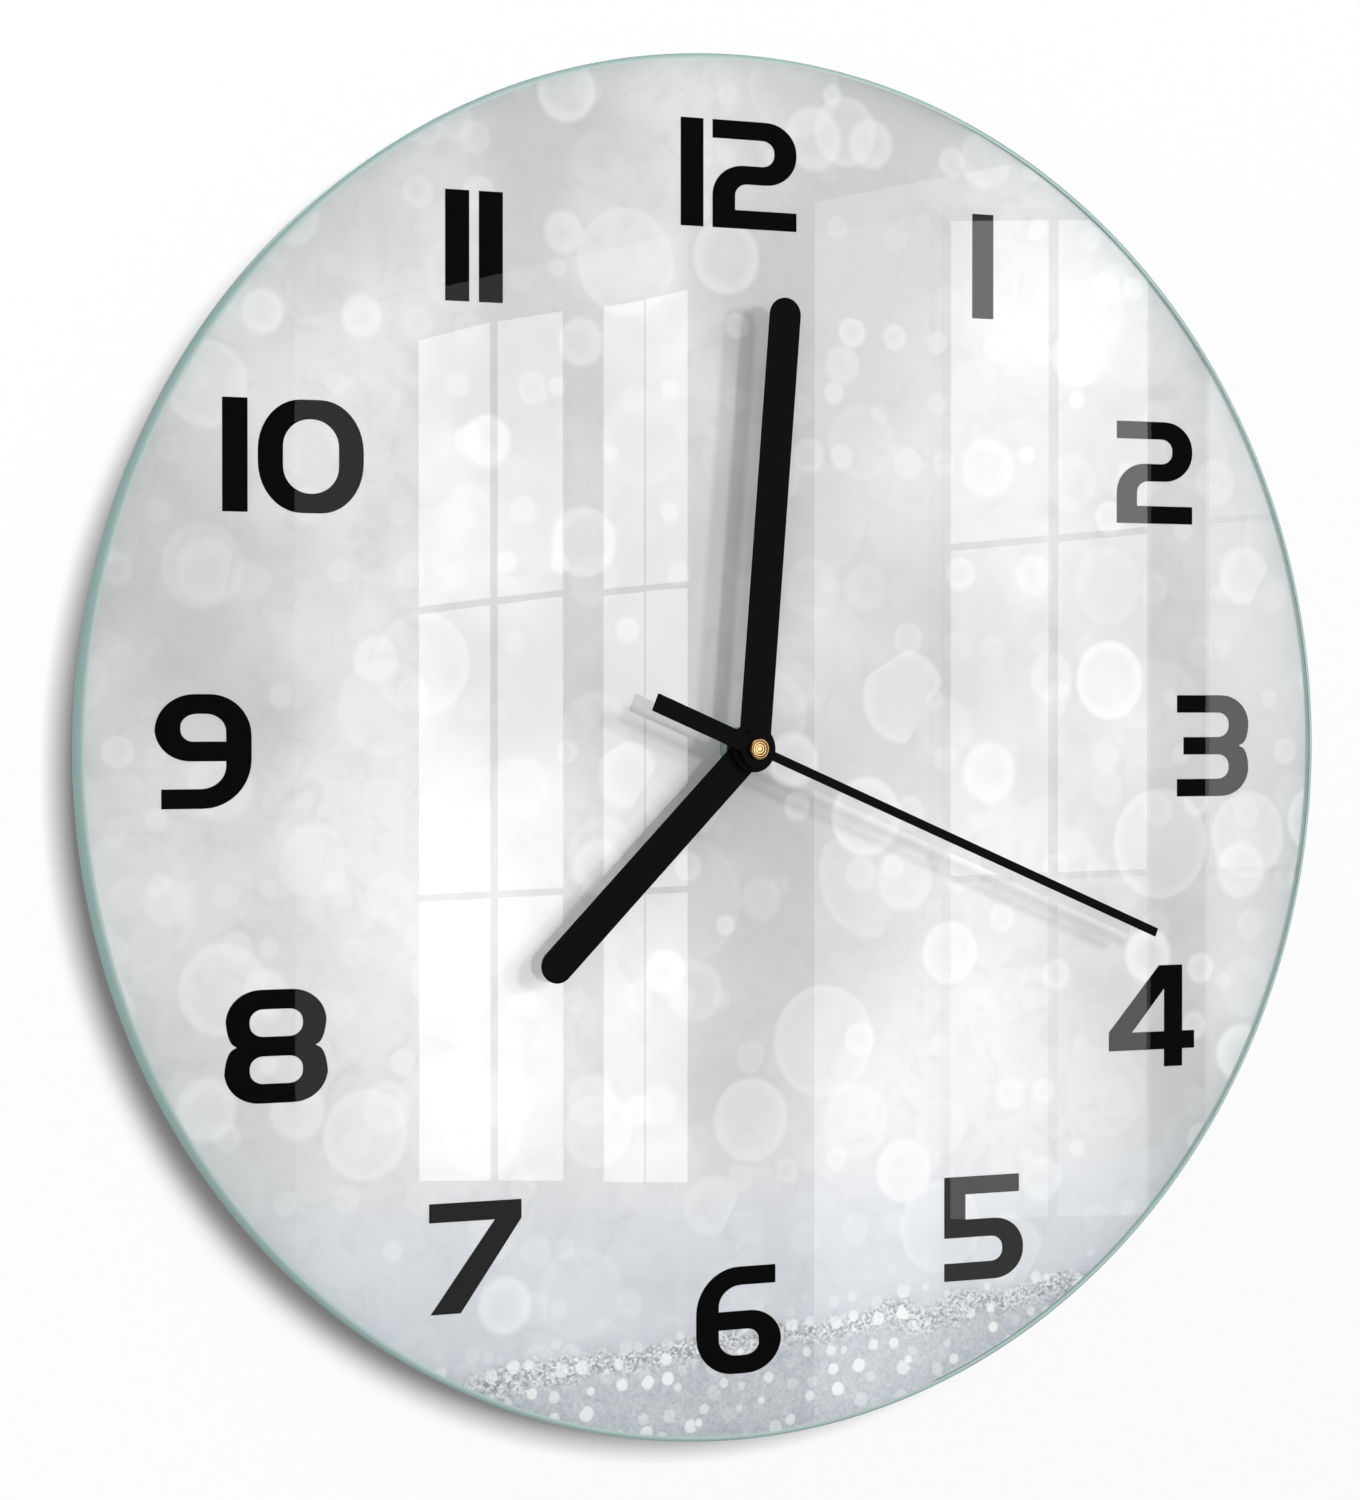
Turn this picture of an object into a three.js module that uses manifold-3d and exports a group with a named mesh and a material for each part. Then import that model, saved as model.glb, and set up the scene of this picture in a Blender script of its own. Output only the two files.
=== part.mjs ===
// Round glass wall clock with a battery quartz movement behind the dial.
// Millimetres. X points right and Z up as the clock is seen, and the dial faces -Y.
// The plane y = 0 is the wall, and the Y axis runs through the centre of the hands.
// Places along the hands' axis are given as "out", the distance in front of the wall.
// Angles around that axis run clockwise from twelve o'clock, in degrees.

import * as THREE from 'three';
import { mergeVertices } from 'three/addons/utils/BufferGeometryUtils.js';
import Module from 'manifold-3d';

// Glass dial
const dialDiameter = 300;
const dialThickness = 5;
const edgeRounding = 1;
const printThickness = 0.2;
const printMargin = 0.1;

// Movement case
const caseWall = 1.2;
const caseCornerRadius = 4;
const coverThickness = 1.4;
const partitionThickness = 0.8;
const coverGap = 0.15;
const tongueLength = 3;
const tongueWidth = 6;
const tongueThickness = 0.9;
const tongueHeights = [-4, 13];
const bossWall = 1;
const bossHeight = 1;

// Hanger loop on the rear cover
const hangerHeight = 13;
const hangerBaseWidth = 26;
const hangerTopWidth = 15;
const hangerThickness = 2.4;
const hangerCorner = 3;
const hangerFlare = 1;
const hangerFlareRise = 2;
const nailSlotWidth = 9;
const nailSlotHeight = 6;
const nailSlotRise = 3;
const nailSlotChamfer = 1;
const nailNotchRadius = 1.8;

// Dry cell of the AA size
const cellDiameter = 14.5;
const cellLength = 50.5;
const cellNubDiameter = 5.5;
const cellNubLength = 1.2;
const cellEdge = 0.6;
const cellNubEdge = 0.3;
const cellPlay = 0.25;
const cellBackGap = 0.45;
const contactThickness = 0.3;
const contactWidth = 4;
const contactPad = 4;
const contactLap = 1;
const springTravel = 1.3;

// Clearances
const seatGap = 0.3;
const runningGap = 0.1;
const pivotGap = 0.05;
const pivotDepth = 0.8;
const endShake = 0.3;
const pipeGap = 0.15;

// How far a fused form runs into its neighbour, and how far a cut runs past an open face
const fuseDepth = 0.1;
const cutPast = 1;

// Centre stack, from the wheels out to the hands
const bushDiameter = 8;
const bushFlangeDiameter = 12;
const bushFlangeThickness = 1.6;
const dialHoleClearance = 0.3;
const washerDiameter = 20;
const washerThickness = 1;
const nutDiameter = 9.8;
const nutThickness = 1.2;
const nutSlotWidth = 1.6;
const nutSlotDepth = 0.6;
const hourPipeDiameter = 5.2;
const cannonPipeDiameter = 3.4;
const secondArborDiameter = 1;
const arborDiameter = 1;
const rotorShaftDiameter = 0.8;

// Hands, as lengths from the centre of the dial
const handThickness = 0.5;
const secondHandThickness = 0.35;
const handCollarHeight = 0.6;
const handCollarWall = 1.1;
const handSpigotWall = 0.6;
const hourHandLength = 68.5;
const hourHandWidth = 7.4;
const minuteHandLength = 97.7;
const minuteHandWidth = 7.5;
const handHubDiameter = 10.2;
const secondHandLength = 110.8;
const secondHandWidth = 2;
const secondHubDiameter = 8;
const tailLength = 26.5;
const tailWidth = 4;
const capDiameter = 4.6;
const capHeight = 1.2;
const capEdge = 0.35;
const capSleeveWall = 0.7;
const capBoreDepth = 1.2;
const hourHandAngle = 225.3;
const minuteHandAngle = 4.6;
const secondHandAngle = 112.4;

// Tooth counts: 30 turns of the rotor to one of the second hand,
// 60 of the second hand to one of the minute hand, 12 of that to one of the hour hand
const rotorPinionTeeth = 8;
const intermediateWheelTeeth = 48;
const intermediatePinionTeeth = 8;
const secondWheelTeeth = 40;
const secondPinionTeeth = 8;
const thirdWheelTeeth = 60;
const thirdPinionTeeth = 8;
const centreWheelTeeth = 64;
const cannonPinionTeeth = 12;
const minuteWorkWheelTeeth = 36;
const minuteWorkPinionTeeth = 10;
const hourWheelTeeth = 40;
const settingPinionTeeth = 12;

// Modules; the two pairs that share their arbors share the distance between them
const rotorModule = 0.28;
const secondTrainModule = 0.46;
const thirdModule = 0.32;
const centreModule = thirdModule * (secondPinionTeeth + thirdWheelTeeth)
  / (thirdPinionTeeth + centreWheelTeeth);
const minuteWorkModule = 0.4;
const hourModule = minuteWorkModule * (cannonPinionTeeth + minuteWorkWheelTeeth)
  / (minuteWorkPinionTeeth + hourWheelTeeth);
const pressureAngle = THREE.MathUtils.degToRad(25);
const wheelAddendum = 0.7;
const pinionAddendum = 0.9;
const rootClearance = 0.3;
const toothThinning = 0.2;

// Directions from each arbor to the next
const thirdDirection = -50;
const intermediateDirection = 40;
const rotorDirection = 65;
const minuteWorkDirection = 90;
const settingDirection = 110;

// Planes of the gear train, in front of the wall
const wheelThickness = 0.7;
const intermediateWheelOut = 4.2;
const secondWheelOut = 5.6;
const thirdWheelOut = 6.9;
const centreWheelOut = 8.2;
const minuteWorkWheelOut = 10.1;
const hourWheelOut = 11.8;
const minuteWorkWheelThickness = 1;
const hourWheelRoom = 0.8;
const cannonPinionThickness = 1.4;
const pinionOverlap = 0.3;

// Time-setting knob
const knobDiameter = 12;
const knobThickness = 2.5;
const knobFlutes = 20;
const knobFluteDepth = 0.35;
const knobRecess = 0.2;
const knobWellGap = 0.3;
const wellFloorOut = 3;
const wellWall = 1;
const wellToBay = 0.42;
const stemDiameter = 2.4;
const knobDishDepth = 0.8;
const knobRimWidth = 1.4;
const knobHubWall = 1;

// Post in the front case that carries the minute-work wheel
const postDiameter = 1.8;

// Stepping motor
const magnetDiameter = 6.4;
const magnetLength = 3;
const magnetOut = 5.8;
const statorBoreGap = 0.5;
const statorThickness = 1.2;
const statorOut = 6.8;
const statorBarHeight = 4.6;
const statorRingWidth = 1.7;
const legWidth = 4;
const motorSideGap = 1.8;
const coreThickness = 1.2;
const coreHeight = 3.2;
const coilRise = 9.5;
const coilDiameter = 8;
const bobbinWall = 0.5;
const coilLegGap = 0.7;
const sleeveGap = 0.1;
const screwHeadDiameter = 3.2;
const screwHeadHeight = 0.8;
const screwHeadEdge = 0.3;
const screwShankDiameter = 1.4;
const screwReach = 3;
const pillarDiameter = 3.6;

// Circuit board
const boardWidth = 20;
const boardHeight = 7;
const boardThickness = 1;
const boardOut = 9;
const boardFromSide = 2.8;
const boardFromTop = 1.2;
const boardPillarInset = 2.5;
const chipDiameter = 5;
const chipHeight = 0.9;
const chipFromLeft = 8;
const crystalDiameter = 2;
const crystalLength = 6;
const crystalEdge = 0.3;
const crystalFromLeft = 12.4;

// Facets round each kind of round face
const dialFacets = 72;
const roundFacets = 20;
const smallFacets = 10;

const wasm = await Module();
wasm.setup();

// Small helpers

// A closed mesh as a solid that can be joined and cut.
function solid(geometry) {
  geometry.deleteAttribute('normal');
  geometry.deleteAttribute('uv');
  const merged = mergeVertices(geometry, 1e-5);
  const mesh = new wasm.Mesh({
    numProp: 3,
    vertProperties: Float32Array.from(merged.attributes.position.array),
    triVerts: Uint32Array.from(merged.index.array),
  });
  return new wasm.Manifold(mesh);
}

// A solid back as a three.js geometry with flat-shaded faces.
function geometryOf(body) {
  const mesh = body.getMesh();
  const points = new Float32Array((mesh.vertProperties.length / mesh.numProp) * 3);
  for (let i = 0; i < points.length / 3; i += 1) {
    for (let axis = 0; axis < 3; axis += 1) {
      points[i * 3 + axis] = mesh.vertProperties[i * mesh.numProp + axis];
    }
  }
  const geometry = new THREE.BufferGeometry();
  geometry.setAttribute('position', new THREE.BufferAttribute(points, 3));
  geometry.setIndex(Array.from(mesh.triVerts));
  geometry.computeVertexNormals();
  return geometry;
}

// The point at a radius and a clockwise angle, in the plane of the dial.
function polar(radius, degrees) {
  const angle = THREE.MathUtils.degToRad(degrees);
  return new THREE.Vector2(radius * Math.sin(angle), radius * Math.cos(angle));
}

// A closed [radius, out] profile turned round the hands' axis, or one parallel to it.
function turned(profile, facets = roundFacets, centre = new THREE.Vector2()) {
  const points = profile.map(([radius, out]) => new THREE.Vector2(radius, -out));
  if (THREE.ShapeUtils.area(points) < 0) points.reverse();
  const axisStart = points.findIndex((p, i) => p.x === 0 && points.at(i - 1).x === 0);
  const ring = axisStart < 0 ? [...points, points[0]]
    : [...points.slice(axisStart), ...points.slice(0, axisStart)];
  const geometry = new THREE.LatheGeometry(ring, facets);
  geometry.translate(centre.x, 0, centre.y);
  return solid(geometry);
}

// A ring or a disc between two distances from the wall.
function ring(outer, inner, back, front, facets, centre) {
  return turned([[outer, back], [outer, front], [inner, front], [inner, back]], facets, centre);
}

// A rod between two distances from the wall.
function rod(diameter, back, front, spot, facets = smallFacets) {
  return ring(diameter / 2, 0, back, front, facets, spot);
}

// The hole that opens everything between two distances from the wall.
function hole(diameter, back, front, spot, facets = smallFacets) {
  return rod(diameter, back - cutPast, front + cutPast, spot, facets);
}

// A closed [radius, x] profile turned round an axis that runs across the clock.
function turnedAcross(profile, out, height, facets = smallFacets) {
  const points = profile.map(([radius, x]) => new THREE.Vector2(radius, x));
  const geometry = new THREE.LatheGeometry(points, facets);
  geometry.rotateZ(-Math.PI / 2);
  geometry.translate(0, -out, height);
  return solid(geometry);
}

// A flat shape in the plane of the dial, given thickness towards the front.
function plate(shape, back, front) {
  const geometry = new THREE.ExtrudeGeometry(shape, {
    depth: front - back,
    bevelEnabled: false,
    curveSegments: 8,
  });
  geometry.translate(0, 0, back);
  geometry.rotateX(Math.PI / 2);
  return solid(geometry);
}

// A box from its left, bottom, right and top edges and its two distances from the wall.
function block(left, bottom, right, top, back, front) {
  const geometry = new THREE.BoxGeometry(right - left, front - back, top - bottom);
  geometry.translate((left + right) / 2, -(back + front) / 2, (bottom + top) / 2);
  return solid(geometry);
}

// A block on the left (side -1) or on the right (side 1), between two distances from the middle.
function sideBlock(side, near, far, bottom, top, back, front) {
  const [left, right] = side < 0 ? [-far, -near] : [near, far];
  return block(left, bottom, right, top, back, front);
}

// A rectangle with its corners rounded.
function roundedRectangle(left, bottom, right, top, radius) {
  const shape = new THREE.Shape();
  shape.absarc(right - radius, bottom + radius, radius, -Math.PI / 2, 0);
  shape.absarc(right - radius, top - radius, radius, 0, Math.PI / 2);
  shape.absarc(left + radius, top - radius, radius, Math.PI / 2, Math.PI);
  shape.absarc(left + radius, bottom + radius, radius, Math.PI, Math.PI * 1.5);
  shape.closePath();
  return shape;
}

// A strip of constant thickness along a folded line of [x, z] corners.
function strip(corners, thickness, back, front) {
  const path = corners.map(([x, z]) => new THREE.Vector2(x, z));
  const sides = [1, -1].map((side) => path.map((point, i) => {
    const before = point.clone().sub(path[Math.max(i - 1, 0)]);
    const after = path[Math.min(i + 1, path.length - 1)].clone().sub(point);
    const first = (before.length() > 0 ? before : after).normalize();
    const second = (after.length() > 0 ? after : first.clone()).normalize();
    const mitre = first.clone().add(second).normalize();
    const reach = thickness / 2 / mitre.dot(first);
    return new THREE.Vector2(point.x - mitre.y * reach * side, point.y + mitre.x * reach * side);
  }));
  return plate(new THREE.Shape([...sides[0], ...sides[1].reverse()]), back, front);
}

const parts = [];

// One named piece of the clock, turned clockwise by an angle where it is a hand.
function piece(name, body, finish, rotation = 0) {
  const mesh = new THREE.Mesh(geometryOf(body), new THREE.MeshStandardMaterial(finish));
  mesh.name = name;
  mesh.rotation.y = THREE.MathUtils.degToRad(rotation);
  parts.push(mesh);
}

// Gears

// Half the angle of an involute tooth at a radius, for a tooth thinned at its pitch circle.
function toothHalfAngle(teeth, module, radius) {
  const pitchRadius = teeth * module / 2;
  const baseRadius = pitchRadius * Math.cos(pressureAngle);
  const involute = (angle) => Math.tan(angle) - angle;
  const angleAt = Math.acos(Math.min(1, baseRadius / radius));
  const atPitch = Math.PI / (2 * teeth) - toothThinning * module / (2 * pitchRadius);
  return atPitch + involute(pressureAngle) - involute(angleAt);
}

// A gear with involute teeth; phase is the angle of the middle of one tooth.
function gear(teeth, module, addendum, mateAddendum, phase, back, front, spot) {
  const pitchRadius = teeth * module / 2;
  const tipRadius = pitchRadius + addendum * module;
  const rootRadius = pitchRadius - (mateAddendum + rootClearance) * module;
  const baseRadius = pitchRadius * Math.cos(pressureAngle);
  const flank = baseRadius > rootRadius ? [rootRadius, baseRadius, tipRadius] : [rootRadius, tipRadius];
  const points = [];
  for (let tooth = 0; tooth < teeth; tooth += 1) {
    const middle = THREE.MathUtils.degToRad(phase) + (tooth * 2 * Math.PI) / teeth;
    const half = flank.map((radius) => toothHalfAngle(teeth, module, Math.max(radius, baseRadius)));
    flank.forEach((radius, i) => points.push([radius, middle - half[i]]));
    [...flank].reverse().forEach((radius, i) => points.push([radius, middle + half.at(-1 - i)]));
  }
  const shape = new THREE.Shape(points.map(([radius, angle]) => new THREE.Vector2(
    spot.x + radius * Math.sin(angle),
    spot.y + radius * Math.cos(angle),
  )));
  return plate(shape, back, front);
}

// A wheel, which meshes with a pinion.
function wheel(teeth, module, phase, back, front, spot) {
  return gear(teeth, module, wheelAddendum, pinionAddendum, phase, back, front, spot);
}

// A pinion, which meshes with a wheel.
function pinion(teeth, module, phase, back, front, spot) {
  return gear(teeth, module, pinionAddendum, wheelAddendum, phase, back, front, spot);
}

// The phase that puts a gear in mesh with one already placed, seen in a direction from it.
function meshPhase(teeth, phase, direction, mateTeeth) {
  const pitch = 360 / teeth;
  const offset = THREE.MathUtils.euclideanModulo(direction - phase, pitch) / pitch;
  return direction + 180 + (offset + 0.5) * (360 / mateTeeth);
}

// Distance between the arbors of two gears in mesh.
function centreDistance(teeth, mateTeeth, module) {
  return (teeth + mateTeeth) * module / 2;
}

// Arbor positions
const centre = new THREE.Vector2(0, 0);
const thirdDistance = centreDistance(secondPinionTeeth, thirdWheelTeeth, thirdModule);
const thirdCentre = polar(thirdDistance, thirdDirection);
const intermediateDistance = centreDistance(intermediatePinionTeeth, secondWheelTeeth, secondTrainModule);
const intermediateCentre = polar(intermediateDistance, intermediateDirection);
const rotorDistance = centreDistance(rotorPinionTeeth, intermediateWheelTeeth, rotorModule);
const rotorCentre = intermediateCentre.clone().add(polar(rotorDistance, rotorDirection));
const minuteWorkDistance = centreDistance(cannonPinionTeeth, minuteWorkWheelTeeth, minuteWorkModule);
const minuteWorkCentre = polar(minuteWorkDistance, minuteWorkDirection);
const settingDistance = centreDistance(settingPinionTeeth, minuteWorkWheelTeeth, minuteWorkModule);
const settingCentre = minuteWorkCentre.clone().add(polar(settingDistance, settingDirection));

// Outer size of the case: across, the cell with its two contacts; up and down from the hands'
// axis, room for the knob's well above the battery bay
const bayHeight = cellDiameter + 2 * cellPlay;
const caseWidth = cellLength + springTravel + 2 * (contactThickness + 2 * seatGap + caseWall);
const wellDepth = knobDiameter / 2 + knobWellGap + wellWall - settingCentre.y;
const caseHeight = 2 * (wellDepth + wellToBay + partitionThickness + bayHeight + caseWall);

// Depth of the case: as deep as the train with the bush's flange, or as the cell
const trainDepth = hourWheelOut + minuteWorkWheelThickness + hourWheelRoom + bushFlangeThickness;
const caseInnerFront = Math.max(trainDepth, cellBackGap + cellDiameter + cellPlay);
const caseDepth = caseInnerFront + caseWall;

// Levels of the centre stack
const washerFront = caseDepth + washerThickness;
const printFront = washerFront + printThickness;
const dialFront = printFront + dialThickness;
const nutFront = dialFront + nutThickness;
const bushFront = nutFront + seatGap;
const hourCollarBack = bushFront + seatGap;
const hourPlateBack = hourCollarBack + handCollarHeight;
const hourPlateFront = hourPlateBack + handThickness;
const hourPipeFront = hourPlateFront + runningGap;
const minuteCollarBack = hourPipeFront + seatGap;
const minutePlateBack = minuteCollarBack + handCollarHeight;
const minutePlateFront = minutePlateBack + handThickness;
const cannonPipeFront = minutePlateFront + runningGap;
const secondSleeveBack = cannonPipeFront + seatGap;
const secondPlateBack = secondSleeveBack + handCollarHeight;
const secondPlateFront = secondPlateBack + secondHandThickness;
const capFront = secondPlateFront + capHeight;
const capBoreFront = secondSleeveBack + capBoreDepth;
const arborBack = coverThickness - endShake + pivotGap;
const pivotFront = caseInnerFront + pivotDepth - endShake;

// Movement case: inner edges and the battery bay
const innerRight = caseWidth / 2 - caseWall;
const innerLeft = -innerRight;
const innerTop = caseHeight / 2 - caseWall;
const innerCornerRadius = caseCornerRadius - caseWall;
const bayBottom = -innerTop;
const bayTop = bayBottom + bayHeight;
const upperBottom = bayTop + partitionThickness;

// Stepping motor places
const rightLeg = innerRight - motorSideGap - legWidth / 2;
const legCentres = [2 * rotorCentre.x - rightLeg, rightLeg];
const coilHeight = rotorCentre.y + coilRise;
const motorScrewSpots = legCentres.map((x) => new THREE.Vector2(x, coilHeight));
const statorFront = statorOut + statorThickness;
const coreFront = statorFront + coreThickness;
const coilOut = (statorFront + coreFront) / 2;

// Circuit board places
const boardLeft = innerLeft + boardFromSide;
const boardTop = innerTop - boardFromTop;
const boardBottom = boardTop - boardHeight;
const boardMiddle = (boardTop + boardBottom) / 2;
const boardFront = boardOut + boardThickness;
const boardPillars = [boardPillarInset, boardWidth - boardPillarInset]
  .map((inset) => new THREE.Vector2(boardLeft + inset, boardMiddle));

// Cell and contact places: the cell's tip stays a seat gap away from the positive contact
const contactOut = boardFront + seatGap;
const contactFront = contactOut + contactWidth;
const cellOut = caseInnerFront - cellPlay - cellDiameter / 2;
const cellHeight = bayBottom + cellPlay + cellDiameter / 2;
const cellRight = innerRight - seatGap - contactThickness - seatGap;
const cellLeft = cellRight - cellLength;

// Glass dial with a polished, rounded edge and a hole for the bush
function glassDial() {
  const inner = bushDiameter / 2 + dialHoleClearance;
  const arc = (middleOut, start) => [0, 1, 2].map((step) => {
    const angle = start + (step * Math.PI) / 4;
    const radius = dialDiameter / 2 - edgeRounding + edgeRounding * Math.cos(angle);
    return [radius, middleOut + edgeRounding * Math.sin(angle)];
  });
  return turned([
    [inner, printFront],
    ...arc(printFront + edgeRounding, -Math.PI / 2),
    ...arc(dialFront - edgeRounding, 0),
    [inner, dialFront],
  ], dialFacets);
}

// Printed layer on the back of the glass
function dialPrint() {
  const outer = dialDiameter / 2 - edgeRounding - printMargin;
  return ring(outer, bushDiameter / 2 + dialHoleClearance, washerFront, printFront, dialFacets);
}

// Round nut with four slots for a pin spanner
function ringNut() {
  const radius = nutDiameter / 2;
  const slotLength = nutSlotDepth + cutPast;
  let nut = ring(radius, bushDiameter / 2 + pivotGap, dialFront, nutFront);
  for (let quarter = 0; quarter < 4; quarter += 1) {
    const slot = new THREE.BoxGeometry(nutSlotWidth, nutThickness + 2 * cutPast, slotLength);
    slot.translate(0, -(dialFront + nutFront) / 2, radius - nutSlotDepth + slotLength / 2);
    slot.rotateY((quarter * Math.PI) / 2);
    nut = nut.subtract(solid(slot));
  }
  return nut;
}

// Brass bush with a flange inside the case; the hour pipe runs in its bore
function threadedBush() {
  const bore = hourPipeDiameter / 2 + runningGap;
  const flangeBack = caseInnerFront - bushFlangeThickness;
  return turned([
    [bore, flangeBack],
    [bushFlangeDiameter / 2, flangeBack],
    [bushFlangeDiameter / 2, caseInnerFront],
    [bushDiameter / 2, caseInnerFront],
    [bushDiameter / 2, bushFront],
    [bore, bushFront],
  ]);
}

// A pillar of the front case with a hole for its screw
function addPillar(body, spot, pillarBack) {
  const pillarFront = caseInnerFront + fuseDepth;
  return body
    .add(rod(pillarDiameter, pillarBack + seatGap, pillarFront, spot))
    .subtract(rod(screwShankDiameter + 2 * pivotGap, pillarBack, pillarBack + screwReach + endShake, spot));
}

// Front case: a tray with the battery bay below and the train above
function frontCase() {
  const half = caseWidth / 2;
  const top = caseHeight / 2;
  const seatBottom = bayTop + coverGap;
  const inner = roundedRectangle(innerLeft, bayBottom, innerRight, innerTop, innerCornerRadius);
  const partition = block(innerLeft, bayTop, innerRight, upperBottom, -cutPast, caseInnerFront);
  let body = plate(roundedRectangle(-half, -top, half, top, caseCornerRadius), 0, caseDepth)
    .subtract(plate(inner, -cutPast, caseInnerFront).subtract(partition))
    .subtract(block(-half - cutPast, seatBottom, half + cutPast, top + cutPast, -cutPast, coverThickness))
    .subtract(hole(bushDiameter + 2 * pivotGap, caseInnerFront, caseDepth, centre, roundFacets));
  const slotNear = innerRight - contactThickness - 2 * seatGap;
  for (const side of [-1, 1]) {
    body = body.subtract(sideBlock(side, slotNear, innerRight, bayTop - cutPast, upperBottom + cutPast,
      contactOut - seatGap, contactFront + seatGap));
  }
  const postBack = minuteWorkWheelOut - seatGap;
  body = body.add(rod(postDiameter, postBack, caseInnerFront + fuseDepth, minuteWorkCentre));
  for (const spot of motorScrewSpots) body = addPillar(body, spot, coreFront);
  for (const spot of boardPillars) body = addPillar(body, spot, boardFront);
  const pivots = [
    [thirdCentre, arborDiameter],
    [intermediateCentre, arborDiameter],
    [rotorCentre, rotorShaftDiameter],
    [settingCentre, stemDiameter],
  ];
  for (const [spot, diameter] of pivots) {
    const pivot = rod(diameter + 2 * pivotGap, caseInnerFront - cutPast, caseInnerFront + pivotDepth, spot);
    body = body.subtract(pivot);
  }
  return body;
}

// Outline of the rear cover's hanger loop, with its nail slot
function hangerShape() {
  const base = caseHeight / 2;
  const top = base + hangerHeight;
  const halfBase = hangerBaseWidth / 2;
  const halfTop = hangerTopWidth / 2;
  const shape = new THREE.Shape();
  shape.moveTo(-halfBase, base - caseCornerRadius);
  shape.lineTo(halfBase, base - caseCornerRadius);
  shape.lineTo(halfBase, base);
  shape.quadraticCurveTo(halfTop + hangerFlare, base + hangerFlareRise, halfTop, top - hangerCorner);
  shape.quadraticCurveTo(halfTop, top, halfTop - hangerCorner, top);
  shape.lineTo(hangerCorner - halfTop, top);
  shape.quadraticCurveTo(-halfTop, top, -halfTop, top - hangerCorner);
  shape.quadraticCurveTo(-halfTop - hangerFlare, base + hangerFlareRise, -halfBase, base);
  shape.closePath();
  shape.holes.push(nailSlot(base + nailSlotRise));
  return shape;
}

// The nail slot: wide enough for the head, with a round notch above for the shank
function nailSlot(bottom) {
  const top = bottom + nailSlotHeight;
  const half = nailSlotWidth / 2;
  const slot = new THREE.Path();
  slot.moveTo(-half, bottom);
  slot.lineTo(-half, top - nailSlotChamfer);
  slot.lineTo(-nailNotchRadius, top);
  slot.absarc(0, top, nailNotchRadius, Math.PI, 0, true);
  slot.lineTo(half, top - nailSlotChamfer);
  slot.lineTo(half, bottom);
  slot.closePath();
  return slot;
}

// Rear cover with the pivot bosses, the well for the knob, snap tongues and the hanger loop
function rearCover() {
  const half = caseWidth / 2;
  const top = caseHeight / 2;
  const bottom = bayTop + 2 * coverGap;
  const below = bottom - caseCornerRadius;
  const outline = roundedRectangle(-half, below, half, top, caseCornerRadius);
  const hanger = plate(hangerShape(), 0, hangerThickness)
    .subtract(block(-half, 0, half, top + coverGap, coverThickness, hangerThickness + cutPast));
  let cover = plate(outline, 0, coverThickness)
    .subtract(block(-half - cutPast, below - cutPast, half + cutPast, bottom, -cutPast,
      coverThickness + cutPast))
    .add(hanger);
  const tongueFar = innerRight - 2 * coverGap;
  for (const side of [-1, 1]) {
    for (const height of tongueHeights) {
      cover = cover.add(sideBlock(side, tongueFar - tongueThickness, tongueFar, height - tongueWidth / 2,
        height + tongueWidth / 2, coverThickness - fuseDepth, coverThickness + tongueLength));
    }
  }
  const wellDiameter = knobDiameter + 2 * knobWellGap;
  const wellFront = wellFloorOut + wellWall;
  cover = cover
    .add(rod(wellDiameter + 2 * wellWall, coverThickness - fuseDepth, wellFront, settingCentre, roundFacets))
    .subtract(rod(wellDiameter, -cutPast, wellFloorOut, settingCentre, roundFacets))
    .subtract(hole(stemDiameter + 2 * runningGap, 0, wellFront, settingCentre));
  const pivots = [
    [centre, secondArborDiameter],
    [thirdCentre, arborDiameter],
    [intermediateCentre, arborDiameter],
    [rotorCentre, rotorShaftDiameter],
  ];
  const bossFront = coverThickness + bossHeight;
  for (const [spot, diameter] of pivots) {
    cover = cover
      .add(rod(diameter + 2 * bossWall, coverThickness - fuseDepth, bossFront, spot))
      .subtract(rod(diameter + 2 * pivotGap, arborBack - endShake, bossFront + cutPast, spot));
  }
  return cover;
}

// Phases, worked outwards from the pinion on the second arbor and from the cannon pinion
const secondPinionPhase = 0;
const intermediatePinionPhase = 0;
const intermediateWheelPhase = 0;
const thirdPinionPhase = 0;
const minuteWorkPinionPhase = 0;
const cannonPhase = minuteWorkDirection;
const secondWheelPhase = meshPhase(intermediatePinionTeeth, intermediatePinionPhase,
  intermediateDirection + 180, secondWheelTeeth);
const rotorPhase = meshPhase(intermediateWheelTeeth, intermediateWheelPhase,
  rotorDirection, rotorPinionTeeth);
const thirdWheelPhase = meshPhase(secondPinionTeeth, secondPinionPhase, thirdDirection, thirdWheelTeeth);
const centreWheelPhase = meshPhase(thirdPinionTeeth, thirdPinionPhase,
  thirdDirection + 180, centreWheelTeeth);
const minuteWorkPhase = meshPhase(cannonPinionTeeth, cannonPhase, minuteWorkDirection, minuteWorkWheelTeeth);
const hourWheelPhase = meshPhase(minuteWorkPinionTeeth, minuteWorkPinionPhase,
  minuteWorkDirection + 180, hourWheelTeeth);
const settingPhase = meshPhase(minuteWorkWheelTeeth, minuteWorkPhase, settingDirection, settingPinionTeeth);

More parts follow.
